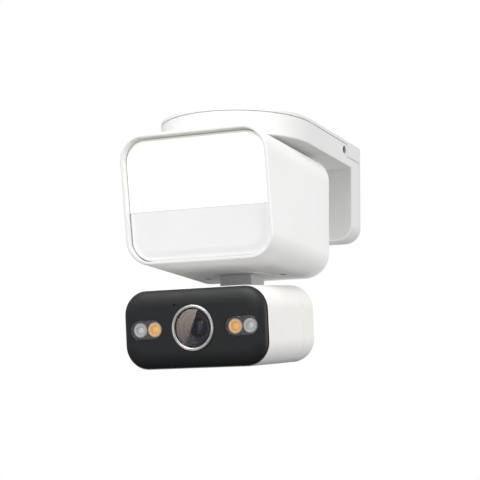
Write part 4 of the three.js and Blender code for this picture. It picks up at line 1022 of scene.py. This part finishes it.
def trap_step(radius, depth):
    """One step edge of the light trap, a pale roll whose finish is a painted highlight: a thin arc of light."""
    front = camera_corners("lens_hood")[0].y + depth
    highlight_roll, turns = 0.28, [step / 8 * math.tau for step in range(8)]
    roll = [(radius + highlight_roll * math.cos(turn), front + highlight_roll * math.sin(turn)) for turn in turns]
    return turned(roll, "y", closed=True, steps=96)


def inner_element():
    """The small domed element behind the front lens, in its dark cell."""
    rear, radius, foot = camera_corners("front_lens")[0].y + 2.1, 1.5, 0.6
    profile = [(0, rear - foot - 1)]
    profile += [(radius * math.sin(turn), rear - foot - math.cos(turn)) for turn in (0.4, 0.8, 1.2, 1.57)]
    profile += [(radius, rear), (0, rear)]
    return turned(profile, "y", steps=64)


def light_window(node):
    """A pill-shaped pane: a rounded rim, a fine groove and a flat field."""
    low, high = camera_corners(node)
    width, height, front, rear = high.x - low.x, high.z - low.z, low.y, high.y
    steps = [(0, rear), (0, front + 0.35), (0.1, front + 0.1), (0.35, front), (0.8, front),
             (0.9, front + 0.25), (1.15, front + 0.25), (1.25, front + 0.05), (1.6, front + 0.05)]
    rings = [lay(rounded(width - 2 * inset, height - 2 * inset, height / 2 - inset, 16), y,
                 centre=((low.x + high.x) / 2, 0, 0)) for inset, y in steps]
    return skin(rings)


def light_cup(node):
    """A bright cone with stepped rings inside a flat rim."""
    low, high = camera_corners(node)
    radius = (high.x - low.x) / 2
    centre = ((low.x + high.x) / 2, 0, 0)
    front, rear = low.y, high.y
    profile = [(0, front + CHIP["floor"]), (1.9, front + CHIP["floor"]), (2.3, front + 1.7),
               (2.7, front + 1.6), (3.2, front + 1.0), (3.6, front + 0.9), (4.1, front + 0.35),
               (4.3, front + 0.05),
               (4.6, front), (4.9, front + 0.05), (radius, front + 0.25), (radius, front + 1), (2.6, rear),
               (0, rear)]
    return turned(profile, "y", centre)


def light_chip(node, sides):
    """The lens over the chip in the middle of a cup, a dome on a many-sided or round foot."""
    low, high = camera_corners(node)
    centre = ((low.x + high.x) / 2, 0, 0)
    floor_y = low.y + CHIP["floor"]
    step = floor_y - CHIP["step"]
    rings = [lay(circle(CHIP["foot"], sides), y, "y", centre) for y in (floor_y, step)]
    rings += [lay(circle(CHIP["dome"] * math.cos(turn), sides), step - 1.1 * math.sin(turn), "y", centre)
              for turn in (0, 0.35, 0.7, 1.05, 1.35)]
    return skin(rings)


def light_rim(node):
    """A thin roll round the mouth of a cup, bright with a painted glow: a painted highlight ring."""
    low, high = camera_corners(node)
    centre = ((low.x + high.x) / 2, 0, 0)
    turns = [step / 10 * math.tau for step in range(10)]
    roll = [(4.35 + 0.75 * math.cos(turn), low.y + 0.45 - 0.4 * math.sin(turn)) for turn in turns]
    return turned(roll, "y", centre, closed=True)


def status_light():
    low, high = camera_corners("status_light")
    centre = (MARK["x"], 0, MARK["z"])
    profile = [(0, low.y), (0.35, low.y + 0.03), (0.55, low.y + 0.2), (0.55, low.y + 2.6), (1.5, low.y + 2.7),
               (1.6, low.y + 2.8), (1.6, high.y), (0, high.y)]
    return turned(profile, "y", centre, steps=32)


piece("camera_shell", camera_shell(), CAMERA_FRAME)
piece("camera_rear_cover", rear_cover(), CAMERA_FRAME)
piece("tilt_cradle", tilt_cradle(), CAMERA_FRAME)
piece("front_panel", front_panel(), CAMERA_FRAME)
piece("lens_ring", lens_ring(), CAMERA_FRAME)
piece("lens_glass", lens_glass(), CAMERA_FRAME)
piece("lens_hood", lens_hood(), CAMERA_FRAME, finish="trap_black")
piece("lens_barrel", lens_barrel(), CAMERA_FRAME)
# Pale rolls on three step edges of the hood: painted highlights.
for number, radius, depth in ((1, 10.6, 1.2), (2, 8.4, 4.4), (3, 7.2, 6.8)):
    piece("lens_hood", trap_step(radius, depth), CAMERA_FRAME, name=f"lens_hood_step_{number}", extra=True,
          finish="trap_painted_highlight")
piece("front_lens", front_lens(), CAMERA_FRAME)
# The inner element's finish glows: a painted glint.
piece("front_lens", inner_element(), CAMERA_FRAME, name="front_lens_inner", extra=True,
      finish="coated_element_painted_glint")
piece("status_light", status_light(), CAMERA_FRAME)
for side in ("left", "right"):
    piece(f"light_window_{side}", light_window(f"light_window_{side}"), CAMERA_FRAME)
    # The chips and the rolls round the cups' mouths glow: painted highlights.
    for kind, sides, finish, edge in (("infrared_light", 6, "chip_clear_painted_glow", "chip_clear_painted_glow"),
                                      ("white_light", 32, "phosphor_core_painted_glow", "rim_painted_glow")):
        node = f"{kind}_{side}"
        piece(node, light_cup(node), CAMERA_FRAME)
        piece(node, light_chip(node, sides), CAMERA_FRAME, name=node + "_chip", extra=True, finish=finish)
        piece(node, light_rim(node), CAMERA_FRAME, name=node + "_rim", extra=True, finish=edge)
    piece(f"cover_screw_{side}", cross_screw(f"cover_screw_{side}", "y", 2.6, 1.3, 1.4), CAMERA_FRAME)


# ---- View, light and floor ---------------------------------------------------------------------

CARD_REACH = 900                # lens to the card that it mirrors
VIEW = {"azimuth": 24.479, "elevation": -9.884, "roll": 0.387, "distance": 1162.4,
        "target": (-1.0, -98.74, -46.99), "lens": 118.85}


def aim(thing, place, target):
    """Puts a light or camera at a place, looking at a target."""
    thing.location = Vector(place) * MM
    look = Vector(target) - Vector(place)
    thing.rotation_euler = look.to_track_quat("-Z", "Y").to_euler()


def view():
    azimuth, elevation = math.radians(VIEW["azimuth"]), math.radians(VIEW["elevation"])
    back = Vector((math.sin(azimuth) * math.cos(elevation), -math.cos(azimuth) * math.cos(elevation),
                   math.sin(elevation)))
    target = Vector(VIEW["target"])
    data = bpy.data.cameras.new("view")
    data.lens = VIEW["lens"]
    data.sensor_width = 36
    data.clip_start, data.clip_end = 0.05, 50
    holder = bpy.data.objects.new("view", data)
    bpy.context.scene.collection.objects.link(holder)
    place = target + back * VIEW["distance"]
    turn = (-back).to_track_quat("-Z", "Y").to_matrix().to_4x4()
    lean = Matrix.Rotation(math.radians(VIEW["roll"]), 4, "Z")
    holder.matrix_world = Matrix.Translation(place * MM) @ turn @ lean
    bpy.context.scene.camera = holder


def area_light(name, place, target, size, power):
    data = bpy.data.lights.new(name, "AREA")
    data.shape = "RECTANGLE"
    data.size, data.size_y = size[0] * MM, size[1] * MM
    data.energy = power
    holder = bpy.data.objects.new(name, data)
    bpy.context.scene.collection.objects.link(holder)
    aim(holder, place, target)
    return holder


def studio():
    """White surroundings that light the object mostly from above. The pale floor far below it is made by floor().
    """
    scene = bpy.context.scene
    scene.view_settings.view_transform = "Standard"
    world = bpy.data.worlds.new("studio")
    scene.world = world
    world.use_nodes = True
    tree = world.node_tree
    tree.nodes.clear()
    direction = add(tree, "TexCoord").outputs["Generated"]
    height = add(tree, "SeparateXYZ", {"Vector": direction}).outputs["Z"]
    raised = add(tree, "MapRange", {"Value": height, "From Min": -1, "From Max": 1}).outputs["Result"]
    sky = add(tree, "ValToRGB", {"Fac": raised}, stops=[
        (0.0, (0.1, 0.1, 0.105, 1)), (1.0, (1, 1, 1, 1)), (0.42, (0.28, 0.28, 0.28, 1)),
        (0.6, (0.9, 0.9, 0.9, 1))])
    seen = add(tree, "LightPath").outputs["Is Camera Ray"]
    backdrop = add(tree, "Background", {"Color": (1, 1, 1, 1), "Strength": 1.0})
    light = add(tree, "Background", {"Color": sky.outputs["Color"], "Strength": 0.86})
    chosen = add(tree, "MixShader", {"Fac": seen, 1: light.outputs[0], 2: backdrop.outputs[0]})
    add(tree, "OutputWorld", {"Surface": chosen.outputs[0]})
    area_light("key", (-250, -1500, 900), (0, -120, -30), (900, 900), 20)
    area_light("side fill", (1500, -500, 60), (0, -60, -20), (900, 900), 6)
    area_light("low fill", (1500, -200, -400), (0, -40, 0), (900, 900), 7)
    # This one stands in for light that bounces about between the lamp and the bracket.
    bounce = area_light("throat bounce", (20, -42, -85), (20, -42, 40), (70, 30), 0.025)
    bounce.visible_camera = bounce.visible_glossy = False


def reflected_card():
    """A slanted card that shows only as a soft patch in the lens, seen past its own mirror image."""
    ring = sum(camera_corners("lens_ring"), Vector()) / 2
    centre = CAMERA_FRAME @ ring
    facing = (CAMERA_FRAME.to_3x3() @ Vector((0, -1, 0))).normalized()
    sight = bpy.context.scene.camera.matrix_world.to_3x3()
    right, up = sight @ Vector((1, 0, 0)), sight @ Vector((0, 1, 0))
    back = (bpy.context.scene.camera.matrix_world.translation / MM - centre).normalized()
    surface = bmesh.new()
    verts = []
    for along, height in ((-40, -70), (-22, -70), (19, 70), (-40, 70)):
        behind = centre - back * CARD_REACH + right * along + up * height
        verts.append(surface.verts.new((behind - facing * 2 * (behind - centre).dot(facing)) * MM))
    surface.faces.new(verts)
    mesh = bpy.data.meshes.new("reflected_card")
    surface.to_mesh(mesh)
    card = bpy.data.objects.new("reflected_card", mesh)
    bpy.context.scene.collection.objects.link(card)
    material, tree = started("Card, lit")[:2]
    height = add(tree, "SeparateXYZ", {"Vector": add(tree, "TexCoord").outputs["Generated"]}).outputs["Z"]
    fade = add(tree, "MapRange", {"Value": height, "From Min": 0.32, "From Max": 0.68,
                                  "To Min": 1.4, "To Max": 8.0})
    lit = add(tree, "Emission", {"Color": colour("#D2C8C2"), "Strength": fade.outputs["Result"]})
    add(tree, "OutputMaterial", {"Surface": lit.outputs[0]})
    mesh.materials.append(material)
    card.visible_camera = card.visible_diffuse = card.visible_shadow = False


def floor():
    surface = bmesh.new()
    bmesh.ops.create_grid(surface, x_segments=1, y_segments=1, size=6)
    mesh = bpy.data.meshes.new("floor")
    surface.to_mesh(mesh)
    ground = bpy.data.objects.new("floor", mesh)
    ground.location = (0, 0, -0.9)
    bpy.context.scene.collection.objects.link(ground)
    material, tree, place = started("Painted floor")
    cloud = add(tree, "TexNoise", {"Vector": place, "Scale": every(700), "Detail": 2})
    tone = add(tree, "ValToRGB", {"Fac": cloud.outputs["Fac"]},
               stops=[(0, colour("#EDEDED")), (1, colour("#F4F4F4"))])
    mesh.materials.append(finished(material, tree, {"Base Color": tone.outputs["Color"], "Roughness": 0.8}))
    ground.visible_diffuse = False
    ground.visible_glossy = False


view()
studio()
floor()
reflected_card()
